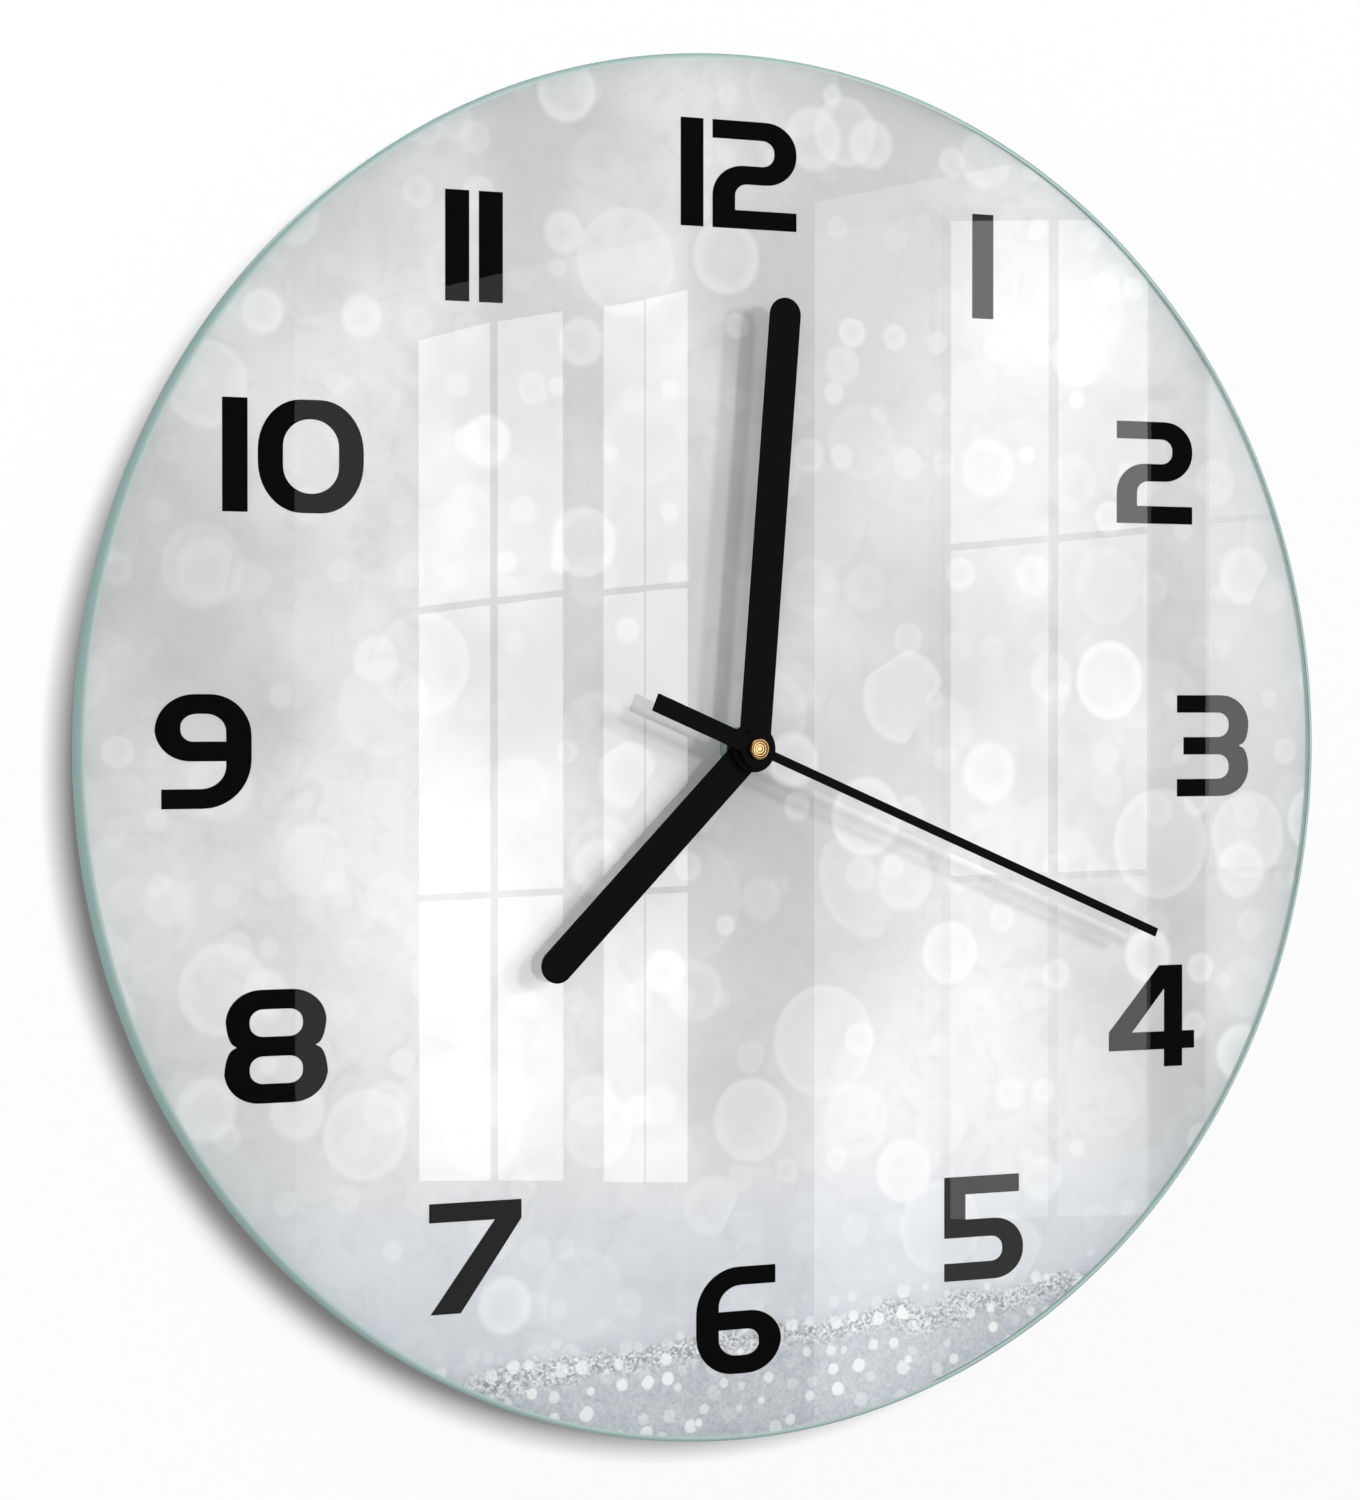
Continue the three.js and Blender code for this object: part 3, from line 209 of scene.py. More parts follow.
back_arris, front_arris = DIAL_RADIUS - EDGE_ROUNDING, DIAL_RADIUS - FRONT_ROUNDING
edge_back = arc((back_arris, DIAL_BACK_OUT + EDGE_ROUNDING), (EDGE_ROUNDING,) * 2, -90, 0, 8)
edge_front = arc((front_arris, DIAL_FRONT_OUT - FRONT_ROUNDING), (FRONT_ROUNDING,) * 2, 0, 90, 10)
glass_profile = np.vstack([
    [(HOLE_RADIUS + HOLE_CHAMFER, DIAL_BACK_OUT), (back_arris - FLAT_RING, DIAL_BACK_OUT)],
    edge_back, edge_front,
    [(front_arris - FLAT_RING, DIAL_FRONT_OUT), (HOLE_RADIUS + HOLE_CHAMFER, DIAL_FRONT_OUT)],
    [(HOLE_RADIUS, DIAL_FRONT_OUT - HOLE_CHAMFER), (HOLE_RADIUS, DIAL_BACK_OUT + HOLE_CHAMFER)]])
glass = make_piece("glass_disc", *turned(glass_profile, DIAL_SEGMENTS), "root", "clear_glass", float_glass)
glass.data.materials.append(ground_edge)
for face in glass.data.polygons:
    face.material_index = int(abs(face.normal.y) < FACE_NORMAL)
glass.visible_shadow = False
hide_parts("glass_dial")


# Print on the back of the glass
# UV-cured ink laid on the back face: a pale silver picture of soft round lights over a field of
# glitter, under a white coat. The lights and the glitter here are a plain pattern of their own.
PRINT_RADIUS = 148.9
PRINT_LAP = 0.6
PRINT_BACK_OUT = DIAL_BACK_OUT - 0.2
HOLE_MARGIN = 0.3
# How far the print reaches into the glass, so that no air lies between them
WETTING = 0.02

SMOOTH = {"interpolation_type": "SMOOTHSTEP"}
silver_print = new_material("silver_print_under_glass")
where = add_node(silver_print, "TexCoord").outputs["Object"]
axes = add_node(silver_print, "SeparateXYZ", {0: where}).outputs
flat = add_node(silver_print, "CombineXYZ", {0: axes["X"], 1: axes["Z"]}).outputs[0]


def lay(share, strength, tone):
    """The silver so far, covered by a tone as far as a share times a strength."""
    weight = add_node(silver_print, "Math", {0: share, 1: strength}, operation="MULTIPLY").outputs[0]
    return add_node(silver_print, "Mix", {0: weight, 6: silver, 7: tone}, data_type="RGBA").outputs[2]


def lay_where(value, low, high, strength, code):
    """The silver so far, covered by a colour where a value rises smoothly from low to high."""
    share = add_node(silver_print, "MapRange", {"Value": value, "From Min": low, "From Max": high}, **SMOOTH)
    return lay(share.outputs["Result"], strength, linear(code))


# Broad clouds of light and dark silver, some 60 mm across, with soft paler and darker places, and
# painted shade that darkens the right-hand side.
clouds = add_node(silver_print, "TexNoise", {"Vector": flat, "Scale": 1 / (60 * MM), "Detail": 4.0},
                  noise_dimensions="2D").outputs[0]
silver = linear("#D3D2D2")
silver = lay_where(clouds, 0.35, 0.68, 1.0, "#EBEAEA")
# Painted shade: the silver darkens towards the right-hand side.
silver = lay_where(axes["X"], 35 * MM, 150 * MM, 0.45, "#C9C8CA")
TONED_PLACES = (
    # x, z, radius where the tone starts, radius where it is full, strength, tone
    (-62, -60, 78, 12, 0.5, "#FFFEFF"),
    (54, -84, 62, 12, 0.6, "#FFFEFF"),
    (72, 78, 44, 10, 0.3, "#FFFEFF"),
    (-24, 34, 52, 8, 0.5, "#C4C4C6"),
    (6, -36, 56, 8, 0.5, "#C4C4C6"),
    (46, 34, 42, 8, 0.45, "#C4C4C6"),
)
for x, z, outer, inner, strength, code in TONED_PLACES:
    away = add_node(silver_print, "VectorMath", {0: flat, 1: (x * MM, z * MM, 0.0)}, operation="DISTANCE")
    silver = lay_where(away.outputs["Value"], outer * MM, inner * MM, strength, code)
silver = lay_where(axes["Z"], -70 * MM, -125 * MM, 0.7, "#D9DDE4")

# Fine streaks and crumples of the silver, a few millimetres long and faint.
crumple = add_node(silver_print, "TexNoise", {
    "Vector": flat, "Scale": 1 / (7 * MM), "Detail": 7.0, "Roughness": 0.62, "Distortion": 0.8},
    noise_dimensions="2D").outputs[0]
silver = lay_where(crumple, 0.45, 0.75, 0.2, "#BEBDC0")


def discs(where, cell, randomness, spread, least, softness):
    """One soft disc in each cell of a random field, its radius a chance times spread, plus least, in
    cells: the share that it covers, the way in from its rim, and another chance of its own."""
    field = add_node(silver_print, "TexVoronoi", {
        "Vector": where, "Scale": 1 / (cell * MM), "Randomness": randomness}, voronoi_dimensions="2D").outputs
    chances = add_node(silver_print, "SeparateColor", {0: field["Color"]}).outputs
    radius = add_node(silver_print, "Math", {0: chances[0], 1: spread, 2: least}, operation="MULTIPLY_ADD")
    way_in = add_node(silver_print, "Math", {
        0: radius.outputs[0], 1: field["Distance"]}, operation="SUBTRACT").outputs[0]
    share = add_node(silver_print, "MapRange", {
        "Value": way_in, "From Min": 0.0, "From Max": softness}, **SMOOTH).outputs["Result"]
    return share, way_in, chances[1]


# Round lights out of focus: in each cell of a random field a disc of its own size and strength, a
# little brighter along its rim.
LIGHT_FIELDS = (
    # cell, smallest and largest radius and softness in mm, strength, shift of the field in metres
    (43.0, 10.0, 15.0, 1.2, 0.26, (0.041, 0.053, 0.0)),
    (31.0, 7.0, 11.0, 1.4, 0.40, (0.013, 0.007, 0.0)),
    (23.0, 5.0, 8.0, 1.8, 0.45, (0.067, 0.019, 0.0)),
    (13.0, 2.5, 4.5, 1.2, 0.30, (0.031, 0.022, 0.0)),
)
for cell, small, large, softness, strength, shift in LIGHT_FIELDS:
    spot = add_node(silver_print, "VectorMath", {0: flat, 1: shift}, operation="ADD").outputs[0]
    disc, way_in, chance = discs(spot, cell, 0.75, (large - small) / cell, small / cell, softness / cell)
    rim = add_node(silver_print, "MapRange", {
        "Value": way_in, "From Min": 3 * softness / cell, "From Max": softness / cell}, **SMOOTH).outputs[0]
    lift = add_node(silver_print, "Math", {0: rim, 1: 0.5, 2: 0.8}, operation="MULTIPLY_ADD").outputs[0]
    bright = add_node(silver_print, "Math", {0: chance, 1: 2.0}, operation="POWER").outputs[0]
    bright = add_node(silver_print, "Math", {0: bright, 1: strength}, operation="MULTIPLY").outputs[0]
    bright = add_node(silver_print, "Math", {0: bright, 1: lift}, operation="MULTIPLY").outputs[0]
    silver = lay(disc, bright, linear("#FFFFFF"))

# Glitter in a band that rises to the right near the foot of the dial, in coarse and fine grains from
# grey to white, with a greyer field and small round lights below it.
GLITTER_Z = -128.8
GLITTER_SLOPE = 0.075
GLITTER_WAVE = 8
SMALL_LIGHT_CELL = 5.2
# Heights over the band's middle where the greyer field, the grains from above and from below, and
# the small lights start and are full
GLITTER_RISES = ((8, -4), (3.5, 0.5), (-5, -1), (12, -3))
# Grains of glitter: size, power that brightens them, strength
GLITTER_GRAINS = ((0.9, 0.7, 0.6), (0.55, 1.0, 0.7))
wave = add_node(silver_print, "TexNoise", {"Vector": flat, "Scale": 1 / (14 * MM), "Detail": 3.0},
                noise_dimensions="2D").outputs[0]
wave = add_node(silver_print, "Math", {0: wave, 1: 0.5}, operation="SUBTRACT").outputs[0]
height = add_node(silver_print, "Math", {0: axes["X"], 1: -GLITTER_SLOPE, 2: axes["Z"]},
                  operation="MULTIPLY_ADD").outputs[0]
height = add_node(silver_print, "Math", {0: wave, 1: GLITTER_WAVE * MM, 2: height},
                  operation="MULTIPLY_ADD").outputs[0]
under, above, below, foot = (
    add_node(silver_print, "MapRange", {
        "Value": height, "From Min": (GLITTER_Z + start) * MM, "From Max": (GLITTER_Z + end) * MM},
        **SMOOTH).outputs["Result"] for start, end in GLITTER_RISES)
silver = lay(under, 0.75, linear("#C4C7CE"))
below = add_node(silver_print, "Math", {0: below, 1: 0.8, 2: 0.2}, operation="MULTIPLY_ADD").outputs[0]
glitter_share = add_node(silver_print, "Math", {0: above, 1: below}, operation="MULTIPLY").outputs[0]
for size, power, strength in GLITTER_GRAINS:
    grains = add_node(silver_print, "TexVoronoi", {"Vector": flat, "Scale": 1 / (size * MM)},
                      voronoi_dimensions="2D").outputs["Color"]
    chance = add_node(silver_print, "SeparateColor", {0: grains}).outputs[0]
    glint = add_node(silver_print, "Math", {0: chance, 1: power}, operation="POWER").outputs[0]
    glitter = add_node(silver_print, "Mix", {0: glint, 6: linear("#7F828A"), 7: linear("#FFFFFF")},
                       data_type="RGBA").outputs[2]
    silver = lay(glitter_share, strength, glitter)
disc, _, chance = discs(flat, SMALL_LIGHT_CELL, 0.95, 0.18, 0.2, 0.1)
disc = add_node(silver_print, "Math", {0: disc, 1: foot}, operation="MULTIPLY").outputs[0]
bright = add_node(silver_print, "Math", {0: chance, 1: 0.8}, operation="POWER").outputs[0]
silver = lay(disc, bright, linear("#FFFFFF"))
shader = add_node(silver_print, "BsdfPrincipled", {
    "Base Color": silver, "Roughness": 0.7, "Specular IOR Level": 0.0})
add_node(silver_print, "OutputMaterial", {"Surface": shader.outputs[0]})


def finish(material, share, under, over, inputs, height=None, strength=1.0, depth=0.0):
    """Ends a material: its colour goes from under to over by a share, and where a height from 0 to 1
    is given, the surface has that relief, as deep as a depth in mm."""
    tone = add_node(material, "Mix", {0: share, 6: under, 7: over}, data_type="RGBA").outputs[2]
    looks = {"Base Color": tone, **inputs}
    if height is not None:
        relief = add_node(material, "Bump", {"Height": height, "Strength": strength, "Distance": depth * MM})
        looks["Normal"] = relief.outputs[0]
    shader = add_node(material, "BsdfPrincipled", looks)
    add_node(material, "OutputMaterial", {"Surface": shader.outputs[0]})


# The white coat over the ink, rolled on, with the faint peel of a roller.
white_coat = new_material("white_backing_coat_rolled")
where = add_node(white_coat, "TexCoord").outputs["Object"]
peel = add_node(white_coat, "TexNoise", {"Vector": where, "Scale": 1 / (1.6 * MM), "Detail": 3.0}).outputs[0]
finish(white_coat, peel, linear("#D9DAD9"), linear("#E8E8E6"), {"Roughness": 0.5}, peel, 0.25, 0.05)

lap = np.linspace(PRINT_LAP, 0, 5)
lap_out = DIAL_BACK_OUT + EDGE_ROUNDING - np.sqrt(EDGE_ROUNDING ** 2 - lap ** 2) + WETTING
print_profile = np.vstack([
    [(HOLE_RADIUS + HOLE_MARGIN, PRINT_BACK_OUT), (PRINT_RADIUS + PRINT_LAP, PRINT_BACK_OUT)],
    np.column_stack([PRINT_RADIUS + lap, lap_out]), [(HOLE_RADIUS + HOLE_MARGIN, DIAL_BACK_OUT + WETTING)]])
print_layer = make_piece("printed_layer", *turned(print_profile, DIAL_SEGMENTS), "root", "dial_print",
                         silver_print)
print_layer.data.materials.append(white_coat)
for face in print_layer.data.polygons:
    face.material_index = int(face.normal.y > 0.5)
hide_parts("dial_print")


# Numerals
# Twelve upright numerals in black ink, printed on the glass before the silver: a broad, square,
# rounded sans with plain bars for the one. They are as thick as the ink, a few hundredths of a mm.
NUMERAL_HEIGHT = 23.3
STEM = 5.5
BAR = 4.0
# Radii of the round corners outside and inside, and how deep a waist is drawn in
BOWL = (7.6, 6.6)
COUNTER = (3.0, 2.5)
WAIST = 2.7
NUMERAL_GAP = 2.2
INK_THICKNESS = 0.03
INK_BACK_OUT = DIAL_BACK_OUT + INK_THICKNESS
INK_FRONT_OUT = DIAL_BACK_OUT + 2 * INK_THICKNESS
half_height = NUMERAL_HEIGHT / 2
bar_top, bar_low = half_height + BAR / 2, half_height - BAR / 2


def rounded(corners, steps=10):
    """A loop through corners; one given with radii (p, q) is an ellipse quarter between its sides:
    corner + u p (1 - sin t) + v q (1 - cos t), with u towards the corner before and v to the next."""
    places = np.array([c[:2] for c in corners], float)
    loop = []
    for i, corner in enumerate(corners):
        if len(corner) == 2:
            loop.append(places[i][None])
            continue
        u = places[i - 1] - places[i]
        v = places[(i + 1) % len(corners)] - places[i]
        t = np.linspace(0, np.pi / 2, steps + 1)[:, None]
        first = u / np.hypot(*u) * corner[2] * (1 - np.sin(t))
        loop.append(places[i] + first + v / np.hypot(*v) * corner[3] * (1 - np.cos(t)))
    return np.vstack(loop)


def sheet_of(loops, back, front):
    """A flat sheet between two distances out: both faces filled inside the loops, joined by walls."""
    flat_points = np.vstack(loops)
    count = len(flat_points)
    fill = [list(t) for t in tessellate_polygon([[Vector((x, z, 0)) for x, z in loop] for loop in loops])]
    points = np.vstack([np.column_stack([flat_points[:, 0], np.full(count, -out), flat_points[:, 1]])
                        for out in (back, front)])
    faces = fill + [[k + count for k in t] for t in fill]
    first = 0
    for loop in loops:
        k = np.arange(len(loop))
        after = (k + 1) % len(loop)
        walls = np.stack([first + k, first + after, first + after + count, first + k + count], 1)
        faces += walls.tolist()
        first += len(loop)
    return points, faces


def figure(sign):
    """The loops of one figure, from its lower left corner, and its width."""
    h, s, b = NUMERAL_HEIGHT, STEM, BAR
    if sign == "0":
        w = 23.3
        outer = [(0, 0, 9.5, 10.5), (0, h, 10.5, 9.5), (w, h, 9.5, 10.5), (w, 0, 10.5, 9.5)]
        inner = [(s, b, 6.0, 5.6), (s, h - b, 5.6, 6.0), (w - s, h - b, 6.0, 5.6), (w - s, b, 5.6, 6.0)]
        return [rounded(outer), rounded(inner)], w
    if sign == "1":
        return [rounded([(0, 0), (0, h), (s, h), (s, 0)])], s
    if sign == "2":
        w = 20.6
        return [rounded([(0, h), (w, h, *BOWL), (w, bar_low, *BOWL[::-1]), (s, bar_low, *COUNTER), (s, b),
                         (w, b), (w, 0), (0, 0), (0, bar_top, *BOWL[::-1]), (w - s, bar_top, *COUNTER),
                         (w - s, h - b, *COUNTER[::-1]), (0, h - b)])], w
    if sign == "3":
        w, tongue = 19.8, 1.8
        waist = [(w, half_height + 1.2, 4.0, 1.8), (w - WAIST, half_height), (w, half_height - 1.2, 1.8, 4.0)]
        return [rounded([(0, h), (w, h, *BOWL), *waist, (w, 0, *BOWL[::-1]), (0, 0), (0, b),
                         (w - s, b, *COUNTER), (w - s, bar_low, *COUNTER[::-1]), (tongue, bar_low),
                         (tongue, bar_top), (w - s, bar_top, *COUNTER), (w - s, h - b, *COUNTER[::-1]),
                         (0, h - b)])], w
    if sign == "4":
        w, left, right, low, high = 23.3, 15.0, 20.0, 4.0, 8.1
        outer = [(13.6, h), (right, h), (right, high), (w, high), (w, low), (right, low), (right, 0),
                 (left, 0), (left, low), (0, low), (0, high + 0.2)]
        return [rounded(outer), rounded([(6.3, high), (left, high), (left, 17.9)])], w
    if sign == "5":
        w, top_end = 20.6, 19.5
        return [rounded([(0, h), (top_end, h), (top_end, h - b), (s, h - b), (s, bar_top),
                         (w, bar_top, *BOWL), (w, 0, *BOWL[::-1]), (0, 0), (0, b), (w - s, b, *COUNTER),
                         (w - s, bar_low, *COUNTER[::-1]), (0, bar_low)])], w
    if sign == "6":
        w, top_end = 20.8, 19.4
        outer = [(top_end, h), (top_end, h - b), (s, h - b, 5.6, 4.6), (s, bar_top), (w, bar_top, *BOWL),
                 (w, 0, 7.5, 8.5), (0, 0, 9.0, 8.5), (0, h, 10.0, 10.5)]
        inner = [(s, bar_low), (w - s, bar_low, 2.8, 2.4), (w - s, b, 2.6, 3.6), (s, b, 4.4, 3.6)]
        return [rounded(outer), rounded(inner)], w
    if sign == "7":
        w = 21.2
        return [rounded([(0, h), (w, h), (w, h - b), (7.2, 0), (0.3, 0), (15.0, h - b), (0, h - b)])], w
    if sign == "8":
        w, narrow = 22.6, 0.3
        above, below = half_height + 1.3, half_height - 1.3
        side = [(w - narrow, above, 4.6, 2.0), (w - WAIST, half_height), (w, below, 2.0, 4.6)]
        other = [(w - x, h - z, p, q) for x, z, p, q in
                 ((w, above, 4.6, 2.0), (w - narrow, below, 2.0, 4.6))]
        outer = [(narrow, h, *BOWL[::-1]), (w - narrow, h, *BOWL), *side, (w, 0, *BOWL[::-1]), (0, 0, *BOWL),
                 other[0], (WAIST, half_height), other[1]]
        counters = [rounded([(s, low, *COUNTER), (s, high, *COUNTER[::-1]), (w - s, high, *COUNTER),
                             (w - s, low, *COUNTER[::-1])])
                    for low, high in ((b, bar_low), (bar_top, h - b))]
        return [rounded(outer), *counters], w
    loops, w = figure("6")
    return [np.array([w, h]) - loop for loop in loops], w


# Black ink, screen printed: even, with the faint mottle of the mesh.
black_ink = new_material("black_screen_ink")
where = add_node(black_ink, "TexCoord").outputs["Object"]
mottle = add_node(black_ink, "TexNoise", {"Vector": where, "Scale": 1 / (0.9 * MM), "Detail": 2.0}).outputs[0]
finish(black_ink, mottle, linear("#020202"), linear("#070707"), {"Roughness": 0.7, "Specular IOR Level": 0.0})

# Middles of the numerals on the dial, from one to twelve
NUMERAL_PLACES = (
    (61.5, 107.5), (107.4, 62.6), (123.5, 0.0), (106.8, -62.0), (62.0, -107.8), (0.0, -124.3),
    (-62.4, -106.6), (-106.9, -60.5), (-122.6, 0.0), (-103.0, 60.5), (-62.6, 105.6), (0.0, 124.3))
for hour, place in enumerate(NUMERAL_PLACES, 1):
    signs = [figure(sign) for sign in str(hour)]
    total = sum(w for _, w in signs) + NUMERAL_GAP * (len(signs) - 1)
    left = place[0] - total / 2
    points, faces = np.zeros((0, 3)), []
    for loops, w in signs:
        offset = np.array([left, place[1] - half_height])
        more, fill = sheet_of([loop + offset for loop in loops], INK_BACK_OUT, INK_FRONT_OUT)
        faces += [[k + len(points) for k in face] for face in fill]
        points = np.vstack([points, more])
        left += w + NUMERAL_GAP
    make_piece(f"numeral_{hour}", points, faces, "root", "dial_print", black_ink)


# Washer, bush and nut
# A rubber washer behind the glass, a brass bush with a rolled thread that comes through both, and a
# black nut in front that clamps the glass to the movement.
BUSH_RADIUS = 4.0
BUSH_BORE = 3.35
BUSH_CLEARANCE = 0.05
THREAD_PITCH = 0.75
THREAD_DEPTH = 0.35
THREAD_STEPS = 8
FLANGE_RADIUS = 6.0
FLANGE_THICKNESS = 1.6
WASHER_RADIUS = 10.0
WASHER_EDGE = 0.25
NUT_RADIUS = 4.9
NUT_EDGE = 0.15
NUT_SLOTS = 4
# width and depth
NUT_SLOT = (1.6, 0.6)
ROUGHNESS_SWING = 0.08
# How far apart the lines of a wave texture are at a scale of one
WAVE_LENGTH = 0.314
flange_back, bush_front = (-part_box("threaded_bush")[k][1] / MM for k in (1, 0))
washer_back, washer_front = (-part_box("rubber_washer")[k][1] / MM for k in (1, 0))
nut_back, nut_front = (-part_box("ring_nut")[k][1] / MM for k in (1, 0))


def speckled(name, codes, grain, roughness, relief=0.0, metallic=0.0, specular=0.5):
    """A surface whose colour wanders between two codes over a grain in mm, with a relief in mm."""
    material = new_material(name)
    where = add_node(material, "TexCoord").outputs["Object"]
    grains = add_node(material, "TexNoise", {
        "Vector": where, "Scale": 1 / (grain * MM), "Detail": 3.0}).outputs[0]
    share = add_node(material, "MapRange", {
        "Value": grains, "From Min": 0.3, "From Max": 0.7}, **SMOOTH).outputs["Result"]
    rough = add_node(material, "Math", {0: share, 1: ROUGHNESS_SWING, 2: roughness - ROUGHNESS_SWING / 2},
                     operation="MULTIPLY_ADD").outputs[0]
    finish(material, share, linear(codes[0]), linear(codes[1]),
           {"Roughness": rough, "Metallic": metallic, "Specular IOR Level": specular}, grains, 1.0, relief)
    return material


def rounded_ring(inner, outer, back, front, edge):
    """The closed profile of a ring whose four edges are rounded by a radius."""
    corners = ((outer - edge, back + edge, -90), (outer - edge, front - edge, 0),
               (inner + edge, front - edge, 90), (inner + edge, back + edge, 180))
    return np.vstack([arc((r, out), (edge, edge), turn, turn + 90, 4) for r, out, turn in corners])


# Moulded EPDM rubber: dull and nearly black.
epdm = speckled("epdm_rubber_moulded", ("#1A1A1A", "#232322"), 0.5, 0.85, 0.01)
clear_of_bush = BUSH_RADIUS + BUSH_CLEARANCE
washer_profile = rounded_ring(clear_of_bush, WASHER_RADIUS, washer_back, washer_front, WASHER_EDGE)
washer = make_piece("washer", *turned(washer_profile), "root", "rubber", epdm)
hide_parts("rubber_washer")


def lined(material, codes, pitch, distortion, inputs, relief=(), **settings):
    """Ends a material with fine even lines, a pitch in mm apart: its colour runs between two codes across
    them, as painted shade where they are low and painted sheen where they are high, and relief is how strong
    and how deep in mm they are."""
    where = add_node(material, "TexCoord").outputs["Object"]
    lines = add_node(material, "TexWave", {
        "Vector": where, "Scale": WAVE_LENGTH / (pitch * MM), "Distortion": distortion},
        **settings).outputs[1]
    height = lines if relief else None
    finish(material, lines, linear(codes[0]), linear(codes[1]), inputs, height, *relief)


# Turned brass: fine rings of the tool, 0.2 mm apart, round the clock's axis, with painted shade in their
# grooves and painted sheen on their crests.
turned_brass = new_material("brass_turned")
lined(turned_brass, ("#B58B45", "#D2AB62"), 0.2, 0.6, {"Metallic": 1.0, "Roughness": 0.28}, (0.5, 0.01),
      wave_type="RINGS", rings_direction="Y")


def threaded_tube(bore, radius, back, front, flange, flange_front, segments=96):
    """A flanged tube with a thread: r = radius - depth (1 - |2 frac(s / pitch + a / 2 pi) - 1|)."""
    turn = np.linspace(0, 2 * np.pi, segments, endpoint=False)
    out = np.arange(flange_front, front + 1e-6, THREAD_PITCH / THREAD_STEPS)
    phase = (out[:, None] / THREAD_PITCH + turn / (2 * np.pi)) % 1.0
    ends = np.clip(np.minimum(out - out[0], out[-1] - out) / THREAD_PITCH, 0, 1)[:, None]
    depth = THREAD_DEPTH * (1 - np.abs(2 * phase - 1)) * ends
    edge = 0.2
    before = [(bore, back), (flange - edge, back), (flange, back + edge), (flange, flange_front - edge),
              (flange - edge, flange_front)]
    after = [(radius - edge, front), (bore, front), (bore, back)]
    r = np.vstack([np.repeat([[p[0]] for p in before], segments, 1), radius - depth,
                   np.repeat([[p[0]] for p in after], segments, 1)])
    level = np.concatenate([[p[1] for p in before], out, [p[1] for p in after]])[:, None] + 0 * turn
    points = np.stack([r * np.sin(turn), -level, r * np.cos(turn)], -1).reshape(-1, 3)
    return points, grid_faces(len(r), segments)


bush = make_piece("bush", *threaded_tube(BUSH_BORE, BUSH_RADIUS, flange_back, bush_front, FLANGE_RADIUS,
                                         flange_back + FLANGE_THICKNESS), "root", "brass", turned_brass)
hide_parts("threaded_bush")


def stamped(outline, hole, back, front, edge, turn=0.0):
    """A sheet cut to outline(inset) round hole(inset); both rims are rounded by a quarter circle:
    at an angle t the loops are drawn in by edge (1 - sin t) at a depth of edge (1 - cos t)."""
    t = np.radians([0, 30, 60, 90])
    steps = list(zip(edge * (1 - np.cos(t)), edge * (1 - np.sin(t))))
    levels = [(back + depth, inset) for depth, inset in steps]
    levels += [(front - depth, inset) for depth, inset in steps[::-1]]
    loops = [np.vstack([outline(inset), hole(-inset)]) for _, inset in levels]
    count, rim = len(loops[0]), len(outline(0.0))
    a = math.radians(turn)
    flat_points = np.stack(loops) @ np.array([[math.cos(a), -math.sin(a)], [math.sin(a), math.cos(a)]])
    level = np.array([out for out, _ in levels])[:, None] + np.zeros(count)
    points = np.stack([flat_points[..., 0], -level, flat_points[..., 1]], -1)
    faces, first = [], 0
    for size in (rim, count - rim):
        walls = np.array(grid_faces(len(levels), size))
        faces += (walls // size * count + walls % size + first).tolist()
        first += size
    for k in (0, len(levels) - 1):
        edges = np.split(loops[k], [rim])
        fill = tessellate_polygon([[Vector((x, z, 0)) for x, z in loop] for loop in edges])
        faces += [[i + k * count for i in t] for t in fill]
    return points.reshape(-1, 3), faces


def circle(radius, steps=72):
    """A function that gives a circle drawn in by an inset."""
    return lambda inset: arc((0, 0), (radius - inset,) * 2, 0, 360, steps)[:-1]


def slotted(radius, slots, width, depth, steps=16):
    """A circle with square slots: the points of each quarter's rim, then of the slot after it."""
    def outline(inset):
        r, half, floor = radius - inset, width / 2 + inset, radius - depth - inset
        start = math.degrees(math.asin(half / r))
        quarter = arc((0, 0), (r, r), start, 360 / slots - start, steps)
        slot = np.array([(floor, -half), (floor, half)])
        loop = []
        for k in range(slots):
            a = 2 * math.pi * k / slots
            swing = np.array([[math.cos(a), math.sin(a)], [-math.sin(a), math.cos(a)]])
            loop.append(np.vstack([slot, quarter]) @ swing)
        return np.vstack(loop)
    return outline


# Brass blackened by oxide: near black, with a low sheen.
black_nut = speckled("black_oxide_on_brass", ("#0F0F10", "#1A1A1B"), 0.6, 0.35, 0.003, 0.0, 0.35)
nut = make_piece("nut", *stamped(slotted(NUT_RADIUS, NUT_SLOTS, *NUT_SLOT), circle(clear_of_bush), nut_back,
                                 nut_front, NUT_EDGE), "root", "black_nut", black_nut)
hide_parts("ring_nut")


# Case, cover and hanger
# An injection-moulded movement case of black ABS: a square front tray and a flat rear cover that
# snaps into it and runs up into the hanger loop with its nail slot. Its walls are spark-textured.
black_abs = speckled("black_abs_spark_textured", ("#161617", "#212122"), 0.55, 0.5, 0.025, 0.0, 0.4)


def eased(node, name, width, slot, body, material):
    """A copy of a CAD node, its flat faces joined up again and its edges eased by a width in mm."""
    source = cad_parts[node].data
    work = bmesh.new()
    work.from_mesh(source)
    bmesh.ops.remove_doubles(work, verts=work.verts, dist=1e-6)
    bmesh.ops.dissolve_limit(work, angle_limit=math.radians(0.5), verts=work.verts, edges=work.edges)
    points = np.array([v.co[:] for v in work.verts]) / MM
    faces = [[v.index for v in f.verts] for f in work.faces]
    work.free()
    piece = make_piece(name, points, faces, body, slot, material)
    bevel = piece.modifiers.new("eased_edges", "BEVEL")
    bevel.width = width * MM
    bevel.segments = 2
    bevel.limit_method = "ANGLE"
    bevel.angle_limit = math.radians(50)
    piece.modifiers.move(1, 0)
    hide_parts(node)
    return piece


